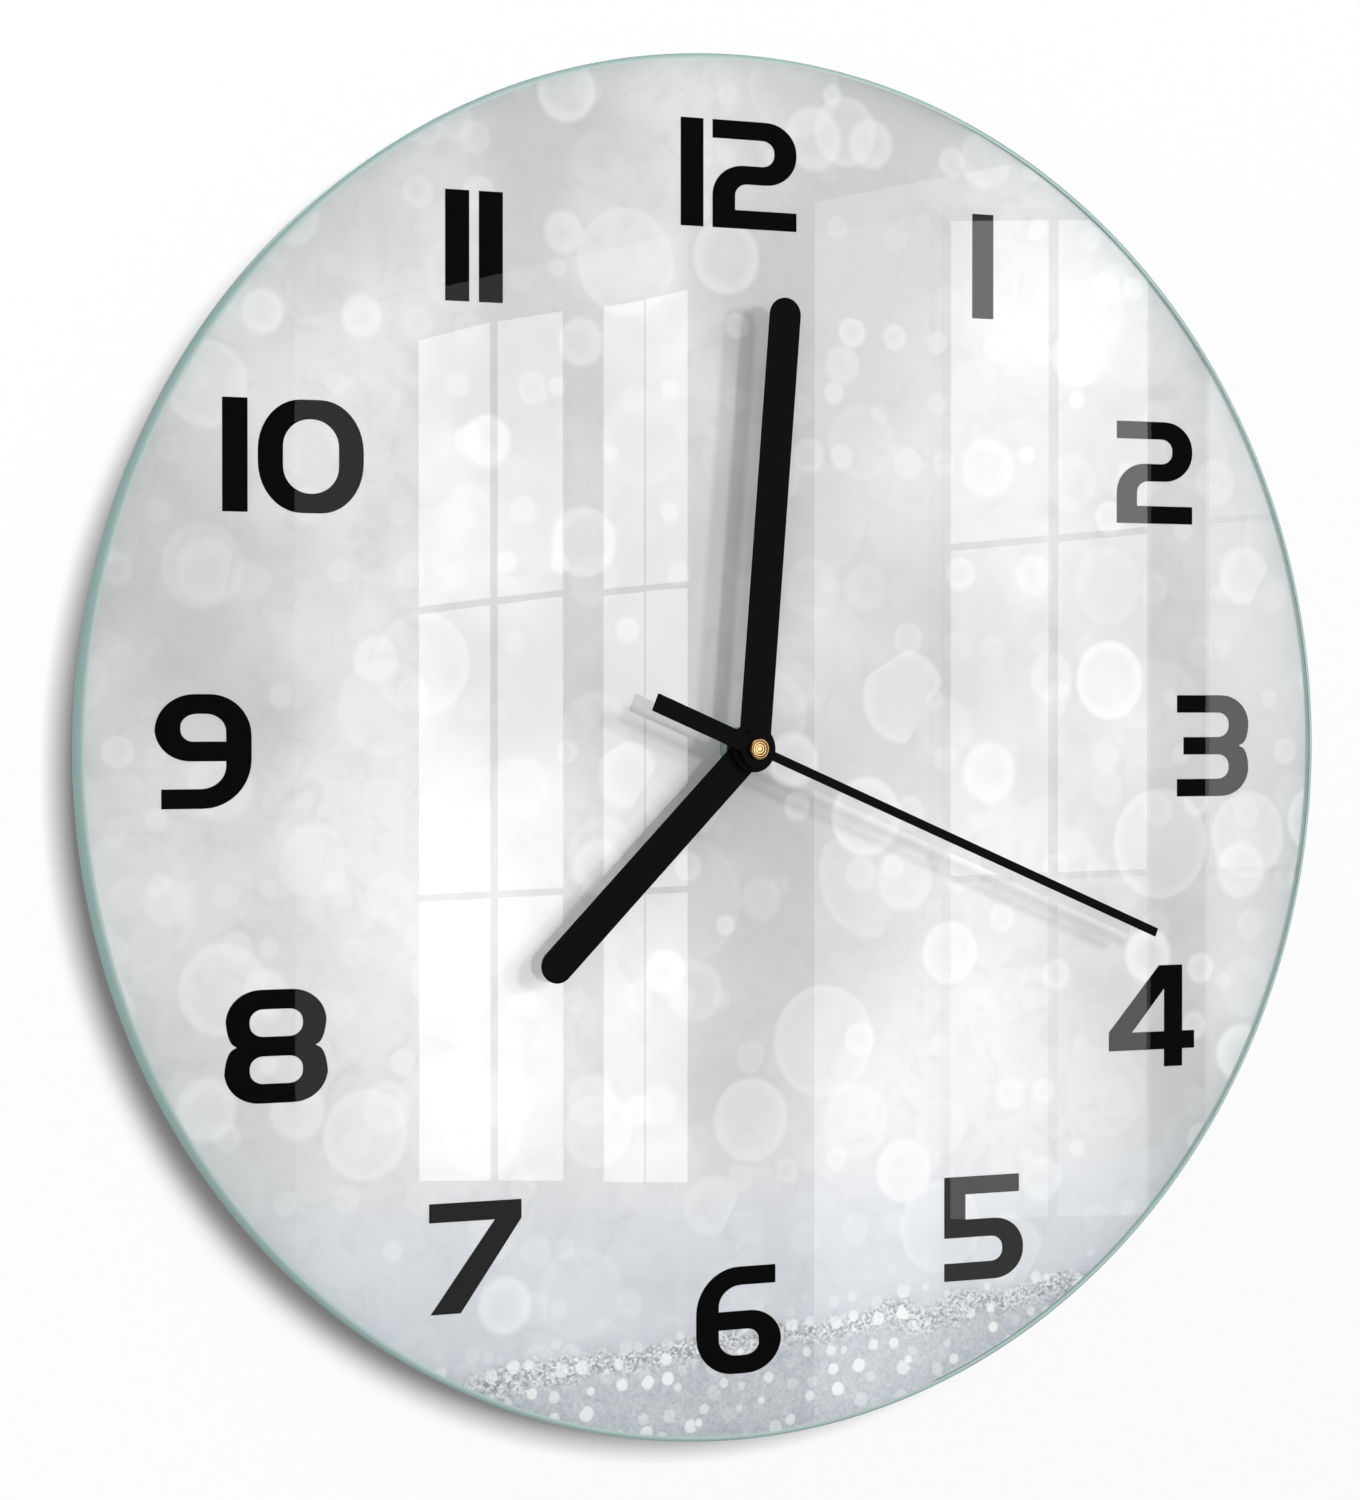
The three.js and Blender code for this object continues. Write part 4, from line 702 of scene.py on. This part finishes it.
eased("front_case", "case_tray", 0.25, "black_plastic", "root", black_abs)
eased("rear_cover", "case_cover", 0.2, "black_plastic", "root", black_abs)


# Setting knob
# The fluted black knob in its well in the cover, moulded in smooth ABS. It is pressed on the white
# stem that turns the motion work, and so sets the hands.
glossy_abs = speckled("black_abs_smooth", ("#131314", "#1B1B1C"), 1.2, 0.32, 0.004, 0.0, 0.5)
eased("setting_knob", "knob", 0.12, "black_plastic", "setting_knob", glossy_abs)


# Dry cell
# An AA cell lying across the bottom of the case: a steel can in a printed sleeve that is shrunk
# over its rims, with the nickel-plated nub of the positive pole on the right.
(cell_left, cell_front, cell_low), (cell_right, cell_back, cell_high) = (
    [v / MM for v in corner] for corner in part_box("dry_cell"))
cell_radius = (cell_high - cell_low) / 2
cell_middle = (-(cell_front + cell_back) / 2, (cell_high + cell_low) / 2)
CELL_ROUNDING = 0.6
FILM_GAP = 0.12
FILM_THICKNESS = 0.1
BAND_WIDTH = 13.0
NUB_RADIUS = 2.75
NUB_LENGTH = 1.2
NUB_ROUNDING = 0.35


def turned_across(profile, middle, segments=72):
    """A closed profile of (r, x) turned round a line along X: (x, -(out + r sin a), z + r cos a)."""
    profile = np.vstack([profile, profile[:1]])
    turn = np.linspace(0, 2 * np.pi, segments, endpoint=False)
    r, x = profile[:, :1], profile[:, 1:]
    points = np.stack([x + 0 * turn, -(middle[0] + r * np.sin(turn)), middle[1] + r * np.cos(turn)], -1)
    return points.reshape(-1, 3), grid_faces(len(profile), segments)


shoulder = cell_right - NUB_LENGTH
can_radius = cell_radius - FILM_GAP
quarter, nub_quarter = (CELL_ROUNDING,) * 2, (NUB_ROUNDING,) * 2
# From the negative pole, a low disc in a shallow groove, to the groove and the nub of the positive
can_profile = np.vstack([
    [(0, cell_left), (2.6, cell_left), (3.0, cell_left + 0.12), (can_radius - 1.4, cell_left + 0.12)],
    arc((can_radius - CELL_ROUNDING, cell_left + CELL_ROUNDING), quarter, -90, 0, 6),
    arc((can_radius - CELL_ROUNDING, shoulder - CELL_ROUNDING), quarter, 0, 90, 6),
    [(NUB_RADIUS + 1.9, shoulder), (NUB_RADIUS + 1.5, shoulder - 0.35), (NUB_RADIUS + 0.25, shoulder - 0.35)],
    arc((NUB_RADIUS - NUB_ROUNDING, cell_right - NUB_ROUNDING), nub_quarter, 0, 90, 6),
    [(0, cell_right)]])
# Nickel plate on drawn steel: bright and a little warm.
nickel = speckled("nickel_plated_steel", ("#B9BABC", "#CFCFD0"), 2.0, 0.25, 0.002, 1.0)
can = make_piece("cell_can", *turned_across(can_profile, cell_middle), "root", "cell", nickel)

# Sleeve film: dark grey with a silver band round the positive end, printed and shrunk on, with soft
# paler patches of painted sheen.
sleeve_film = new_material("printed_pvc_sleeve")
where = add_node(sleeve_film, "TexCoord").outputs["Object"]
along = add_node(sleeve_film, "SeparateXYZ", {0: where}).outputs["X"]
band_start = cell_right - BAND_WIDTH
band = add_node(sleeve_film, "MapRange", {
    "Value": along, "From Min": band_start * MM, "From Max": (band_start + 0.1) * MM}, **SMOOTH)
painted_sheen_and_ripple = add_node(sleeve_film, "TexNoise", {"Vector": where, "Scale": 1 / (6 * MM), "Detail": 2.0}).outputs[0]
print_tone = add_node(sleeve_film, "Mix", {
    0: band.outputs["Result"], 6: linear("#34383E"), 7: linear("#B4B7BA")}, data_type="RGBA").outputs[2]
# Painted sheen: soft patches some 6 mm across lighten the film.
faint = add_node(sleeve_film, "Math", {0: painted_sheen_and_ripple, 1: 0.25}, operation="MULTIPLY").outputs[0]
finish(sleeve_film, faint, print_tone, linear("#5A6068"), {
    "Roughness": 0.3, "Metallic": 0.35, "Coat Weight": 0.6, "Coat Roughness": 0.12}, painted_sheen_and_ripple, 0.4, 0.02)
film_ends = [arc((cell_radius - CELL_ROUNDING, x), quarter, a, b, 6) for x, a, b in
             ((cell_left + CELL_ROUNDING, -75, 0), (shoulder - CELL_ROUNDING, 0, 75))]
film_profile = np.vstack([*film_ends, film_ends[1][::-1] - (FILM_THICKNESS, 0.05),
                          film_ends[0][::-1] - (FILM_THICKNESS, -0.05)])
make_piece("cell_sleeve", *turned_across(film_profile, cell_middle), "root", "cell", sleeve_film)
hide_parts("dry_cell")


# Contacts and circuit board
# Two contact strips of nickel-plated spring steel, a glass-fibre board under green lacquer, the
# clock chip under a drop of black resin, and the crystal in its drawn can.


def dress(material, *names):
    """Gives CAD nodes a material in place of the one that they came with."""
    for name in names:
        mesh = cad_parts[name].data
        mesh.materials.clear()
        mesh.materials.append(material)


dress(speckled("nickel_plated_spring_steel", ("#AFB0B2", "#C6C6C7"), 1.5, 0.3, 0.003, 1.0),
      "negative_contact", "positive_contact", "quartz_crystal")
dress(speckled("glass_fibre_board_green_lacquer", ("#1F5A33", "#2F7343"), 0.8, 0.35, 0.01), "circuit_board")
dress(speckled("black_epoxy_drop", ("#0C0C0C", "#161616"), 1.0, 0.25, 0.02), "chip_cover")
dress(speckled("zinc_plated_screw", ("#A2A7AB", "#C2C5C8"), 0.6, 0.3, 0.004, 1.0),
      "board_screw", "motor_screw_left", "motor_screw_right")


# Stepping motor
# A stator and core punched from soft iron sheet, an acetal bobbin wound with enamelled copper
# wire, and the bonded magnet of the rotor in the stator's bore.
dress(speckled("soft_iron_punched", ("#85868A", "#A3A4A7"), 0.7, 0.38, 0.004, 1.0), "stator", "coil_core")
# Enamelled copper wire in even turns: painted shade darkens it between the turns, and painted sheen lightens
# their tops.
enamelled_wire = new_material("enamelled_copper_wire")
lined(enamelled_wire, ("#6E2F14", "#C4703A"), 0.25, 0.3, {
    "Metallic": 0.9, "Roughness": 0.3, "Coat Weight": 0.5}, (1.0, 0.05), bands_direction="X")
dress(enamelled_wire, "coil_winding")
dress(speckled("bonded_ferrite", ("#38383B", "#4C4C50"), 0.3, 0.5, 0.008, 0.3), "rotor_magnet")


# Wheels and arbors
# Wheels and pinions moulded in white acetal, each in one with its arbor, the steel second arbor
# and the brass cannon pinion that carries the minute hand.
dress(speckled("white_acetal_moulded", ("#E6E3DA", "#F4F2EB"), 1.4, 0.4, 0.006),
      "coil_bobbin", "second_wheel", "third_wheel", "intermediate_wheel", "rotor_pinion", "centre_wheel",
      "minute_work_wheel", "hour_wheel", "setting_stem")
dress(speckled("steel_ground", ("#A8AAAC", "#C8C9CA"), 0.5, 0.25, 0.002, 1.0), "second_arbor")
dress(turned_brass, "cannon_pinion")


# Hour and minute hands
# Two flat bars with round ends, stamped from 0.5 mm aluminium sheet, sprayed satin black and staked
# on stepped brass rings that grip the hour pipe and the cannon pinion.
HUB_RADIUS = 5.1
HAND_EDGE = 0.12
SPIGOT_WALL = 0.45
SPIGOT_EDGE = 0.08
COLLAR_WALL = 1.35
COLLAR_EDGE = 0.1
HAND_CLEARANCE = 0.05
HANDS = (
    # name, length, width, angle
    ("hour_hand", 68.5, 7.4, 225.3),
    ("minute_hand", 97.7, 7.5, 4.6),
)


def arm_end(length, half, corner, inset, steps=12):
    """The end of an arm along Z from its right side to its left, its corners quarter circles."""
    side, top, r = half - corner, length - corner, corner - inset
    return np.vstack([arc((side, top), (r, r), 0, 90, steps), arc((-side, top), (r, r), 90, 180, steps)])


def hand_outline(hub, arm, tail=None, steps=16):
    """A function of the inset: the arm's end, round the hub to the tail's end, and back."""
    def outline(inset):
        r = hub - inset
        start = 180 - math.degrees(math.acos(min((arm[1] - inset) / r, 1)))
        if tail is None:
            return np.vstack([arm_end(*arm, inset), arc((0, 0), (r, r), start, 540 - start, 3 * steps)])
        stop = 180 + math.degrees(math.acos(min((tail[1] - inset) / r, 1)))
        left = arc((0, 0), (r, r), start, stop, steps)
        return np.vstack([arm_end(*arm, inset), left, -arm_end(*tail, inset), left[::-1] * (-1, 1)])
    return outline


# Satin black sprayed on the sheet: even and near black, with hardly a gloss.
black_spray = speckled("satin_black_spray_on_aluminium", ("#090909", "#0E0E0E"), 0.35, 0.55, 0.004, 0.0, 0.05)
for name, length, width, angle in HANDS:
    back, front = (-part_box(name)[k][1] / MM for k in (1, 0))
    ring_back, ring_front = (-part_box(name + "_bush")[k][1] / MM for k in (1, 0))
    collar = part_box(name + "_bush")[1][0] / MM
    bore = collar - COLLAR_WALL
    spigot = bore + SPIGOT_WALL
    arm = (length, width / 2, width / 2)
    hand = make_piece(name + "_sheet", *stamped(
        hand_outline(HUB_RADIUS, arm), circle(spigot + HAND_CLEARANCE), back, front, HAND_EDGE, turn=angle),
        name, "black_aluminium", black_spray)
    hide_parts(name)
    ring = np.array([
        (bore, ring_back), (collar - COLLAR_EDGE, ring_back), (collar, ring_back + COLLAR_EDGE),
        (collar, back), (spigot, back), (spigot, ring_front - SPIGOT_EDGE),
        (spigot - SPIGOT_EDGE, ring_front), (bore, ring_front)])
    piece = make_piece(name + "_ring", *turned(ring), name, "brass", turned_brass)
    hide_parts(name + "_bush")


# Second hand
# A slim arm with a wider tail, stamped from 0.35 mm aluminium sheet and sprayed the same black. It is
# pressed on the sleeve of its cap.
SECOND_HUB_RADIUS = 4.0
# length, half the width, radius of the corners
SECOND_ARM = (110.8, 1.0, 0.15)
SECOND_TAIL = (26.5, 2.0, 0.15)
SECOND_ANGLE = 112.4
SLEEVE_RADIUS = 1.15
SECOND_EDGE = 0.08
back, front = (-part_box("second_hand")[k][1] / MM for k in (1, 0))
hand = make_piece("second_hand_sheet", *stamped(
    hand_outline(SECOND_HUB_RADIUS, SECOND_ARM, SECOND_TAIL), circle(SLEEVE_RADIUS + HAND_CLEARANCE),
    back, front, SECOND_EDGE, turn=SECOND_ANGLE), "second_hand", "black_aluminium", black_spray)
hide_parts("second_hand")


# Second hand's cap
# A turned brass cap with a rounded rim and a dished face, on the sleeve that grips the steel arbor.
# The tool left wide shallow rings in the face, which glint round the middle; the fine ones on them are only
# painted, as rings of darker and paler gold that stand in for their glint.
CAP_RADIUS = 2.3
CAP_EDGE = 0.35
CAP_RING_PITCH = 0.55
CAP_RING_DEPTH = 0.05
CAP_DISH = 0.22
CAP_BORE_RADIUS = 0.55
CAP_BORE_DEPTH = 1.2
sleeve_back, cap_front = (-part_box("second_hand_cap")[k][1] / MM for k in (1, 0))
ring_radii = np.arange(CAP_RADIUS - CAP_EDGE - 0.1, 0.2, -CAP_RING_PITCH / 4)
grooves = CAP_RING_DEPTH * (1 - np.cos(2 * np.pi * (ring_radii - ring_radii[0]) / CAP_RING_PITCH)) / 2
dish = CAP_DISH * (1 - (ring_radii / ring_radii[0]) ** 2)
bore_end = sleeve_back + CAP_BORE_DEPTH
cap_profile = np.vstack([
    [(CAP_BORE_RADIUS, sleeve_back), (SLEEVE_RADIUS, sleeve_back), (SLEEVE_RADIUS, front)],
    [(CAP_RADIUS, front)],
    arc((CAP_RADIUS - CAP_EDGE, cap_front - CAP_EDGE), (CAP_EDGE, CAP_EDGE), 0, 90, 6),
    np.column_stack([ring_radii, cap_front - grooves - dish]),
    [(0, cap_front - dish[-1]), (0, bore_end), (CAP_BORE_RADIUS, bore_end)]])
bright_brass = new_material("brass_bright_turned")
around = add_node(bright_brass, "Tangent", direction_type="RADIAL", axis="Y").outputs[0]
# Painted glint: fine rings of darker and paler gold, with no relief of their own.
lined(bright_brass, ("#E0A050", "#FFE2A8"), 0.12, 0.4, {
    "Metallic": 1.0, "Roughness": 0.2, "Anisotropic": 0.8, "Tangent": around},
    wave_type="RINGS", rings_direction="Y")
cap = make_piece("cap", *turned(cap_profile, 128), "second_hand", "cap_brass", bright_brass, crease=50.0)
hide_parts("second_hand_cap")


# Wall and light
# A plain white wall behind the clock, seen from the front only, so that the back can be looked at.
# It has a lamp of its own for the clock's soft shadow, and the other lamps leave it out.
WALL_HALF = 2000.0
wall_mesh = bpy.data.meshes.new("wall")
corners = np.array([(-1, 0, -1), (1, 0, -1), (1, 0, 1), (-1, 0, 1)]) * WALL_HALF * MM
wall_mesh.from_pydata(corners.tolist(), [], [(0, 1, 2, 3)])
wall = bpy.data.objects.new("wall", wall_mesh)
bpy.context.scene.collection.objects.link(wall)
wall.visible_shadow = False
wall.visible_diffuse = False
wall.visible_glossy = False
white_wall = new_material("white_wall")
where = add_node(white_wall, "TexCoord").outputs["Object"]
roller = add_node(white_wall, "TexNoise", {"Vector": where, "Scale": 1 / (3 * MM), "Detail": 2.0}).outputs[0]
paint = add_node(white_wall, "Mix", {0: roller, 6: linear("#808080"), 7: linear("#828282")},
                 data_type="RGBA").outputs[2]
painted = add_node(white_wall, "BsdfDiffuse", {"Color": paint}).outputs[0]
clear = add_node(white_wall, "BsdfTransparent").outputs[0]
behind = add_node(white_wall, "NewGeometry").outputs["Backfacing"]
both = add_node(white_wall, "MixShader", {0: behind, 1: painted, 2: clear})
add_node(white_wall, "OutputMaterial", {"Surface": both.outputs[0]})
wall_mesh.materials.append(white_wall)


def linked(name, state):
    """A collection of the wall alone, which a lamp either lights alone or leaves out."""
    group = bpy.data.collections.new(name)
    group.objects.link(wall)
    group.collection_objects[0].light_linking.link_state = state
    return group


wall_alone = linked("wall_alone", "INCLUDE")
wall_left_out = linked("wall_left_out", "EXCLUDE")
# Square lamps aimed at the hands: two small ones on the right that cast the hands' shadows on the
# dial, one above and one behind that fill, and the wall's own.
SOFTBOXES = (
    # name, place, side, power, whether gloss mirrors it, what it lights
    ("key_near", (480, -1350, 300), 150, 4.3, False, wall_left_out),
    ("key_far", (900, -1150, 330), 150, 4.3, False, wall_left_out),
    ("above", (-300, -1000, 1200), 900, 3.4, True, wall_left_out),
    ("rear", (500, 1300, 600), 900, 7, True, wall_left_out),
    ("wall_key", (-800, -5800, 1650), 2300, 1430, False, wall_alone),
)
for name, place, side, power, in_gloss, lights in SOFTBOXES:
    data = bpy.data.lights.new(name, "AREA")
    data.size = side * MM
    data.energy = power
    lamp = bpy.data.objects.new(name, data)
    lamp.location = Vector(place) * MM
    lamp.rotation_euler = (-Vector(place)).to_track_quat("-Z", "Y").to_euler()
    lamp.visible_glossy = in_gloss
    lamp.visible_transmission = False
    lamp.visible_camera = False
    lamp.light_linking.receiver_collection = lights
    bpy.context.scene.collection.objects.link(lamp)

# What the glass mirrors: bright windows of a room, as cards that only reflections see. Each is given
# where its image lies on the dial, in mm, and is worked out for its place behind the camera.
CARD_OUT = 1500.0
WINDOW_CARDS = (
    # left, right, low left, low right, high left, high right, strength, step towards the clock
    (-104, -14, -190, -190, 88, 111, 0.7, 0),
    (17, 104.5, -190, -190, 119, 139, 1.5, 0),
    (119.5, 190, -190, -190, 142, 160, 1.5, 0),
    (-80, -42, -190, -190, 83, 94, 0.5, 1),
    (-36, -14, -190, -190, 93, 101, 0.5, 1),
    (49, 104.5, -190, -190, 120, 122, 0.8, 1),
    (17, 46, -190, -190, 112, 118, 2.0, 1),
    # The panes, in seven columns of three from the left
    (-76.5, -60.3, 29.8, 31.9, 85, 89.5, 4.2, 2), (-58.6, -43.5, 32, 33.8, 89.7, 92.6, 4.2, 2),
    (-76.5, -60.3, -30, -29.6, 28.2, 30.4, 4.2, 2), (-58.6, -43.5, -29.5, -29.2, 30.5, 32.4, 4.2, 2),
    (-76.5, -60.3, -89.5, -90.3, -31.5, -31.1, 4.2, 2), (-58.6, -43.5, -90.4, -91.2, -31, -30.7, 4.2, 2),
    (-34, -24.4, 34, 35, 93.8, 95.8, 4.2, 2), (-24, -14, 35, 36, 96, 98.5, 4.2, 2),
    (-34, -24.4, -29.8, -29.6, 32.6, 33.6, 4.2, 2), (-24, -14, -29.6, -29.4, 33.7, 34.6, 4.2, 2),
    (-34, -24.4, -92, -92.6, -31.2, -31, 4.2, 2), (-24, -14, -92.7, -93.2, -31, -30.8, 4.2, 2),
    (51.5, 77, 45.2, 47.6, 116.8, 118.4, 3.6, 2), (79.6, 103.5, 47.8, 50, 118.6, 119.8, 3.6, 2),
    (51.5, 77, -28.6, -28.3, 43.6, 46, 3.6, 2), (79.6, 103.5, -28.3, -28, 46.2, 48.4, 3.6, 2),
    (51.5, 77, -105, -106, -30.2, -29.9, 2.2, 2), (79.6, 103.5, -106.1, -107, -29.9, -29.6, 2.2, 2),
    (120.5, 190, 52.6, 58, 142, 160, 2.8, 2), (120.5, 190, -28, -27.4, 51, 56.4, 2.6, 2),
    (120.5, 190, -190, -190, -29.6, -29, 2.2, 2),
)
eye = np.array([camera_place.x, -2 * DIAL_FRONT_OUT - camera_place.y, camera_place.z])
for number, card_values in enumerate(WINDOW_CARDS, 1):
    left, right, low_left, low_right, high_left, high_right, strength, step = card_values
    images = np.array([(left, -DIAL_FRONT_OUT, low_left), (right, -DIAL_FRONT_OUT, low_right),
                       (right, -DIAL_FRONT_OUT, high_right), (left, -DIAL_FRONT_OUT, high_left)])
    reach = (-CARD_OUT + step - eye[1]) / (-DIAL_FRONT_OUT - eye[1])
    card_mesh = bpy.data.meshes.new(f"window_{number}")
    card_mesh.from_pydata(((eye + (images - eye) * reach) * MM).tolist(), [], [(0, 1, 2, 3)])
    card = bpy.data.objects.new(f"window_{number}", card_mesh)
    bpy.context.scene.collection.objects.link(card)
    card.visible_camera = card.visible_diffuse = card.visible_shadow = False
    card.visible_transmission = False
    daylight = new_material(f"daylight_{number}")
    glow = add_node(daylight, "Emission", {"Color": (1, 1, 1, 1), "Strength": strength})
    add_node(daylight, "OutputMaterial", {"Surface": glow.outputs[0]})
    daylight.cycles.emission_sampling = "NONE"
    card_mesh.materials.append(daylight)

# The room's light: white to the camera, a little less to the pieces, and dim where gloss mirrors it.
BACKDROP_LEVEL = 1.0
ROOM_LEVEL = 0.94
MIRRORED_LEVEL = 0.06
world = bpy.data.worlds.new("studio")
world.use_nodes = True
bpy.context.scene.world = world
world.node_tree.nodes.clear()
world.cycles.sampling_method = "NONE"
rays = add_node(world, "LightPath").outputs
backdrop, room, dim = (
    add_node(world, "Background", {"Color": (1, 1, 1, 1), "Strength": level}).outputs[0]
    for level in (BACKDROP_LEVEL, ROOM_LEVEL, MIRRORED_LEVEL))
mirrored = add_node(world, "Math", {0: rays["Is Glossy Ray"], 1: rays["Is Transmission Ray"]},
                    operation="SUBTRACT", use_clamp=True).outputs[0]
unseen = add_node(world, "MixShader", {0: mirrored, 1: room, 2: dim}).outputs[0]
seen = add_node(world, "MixShader", {0: rays["Is Camera Ray"], 1: unseen, 2: backdrop})
add_node(world, "OutputWorld", {"Surface": seen.outputs[0]})
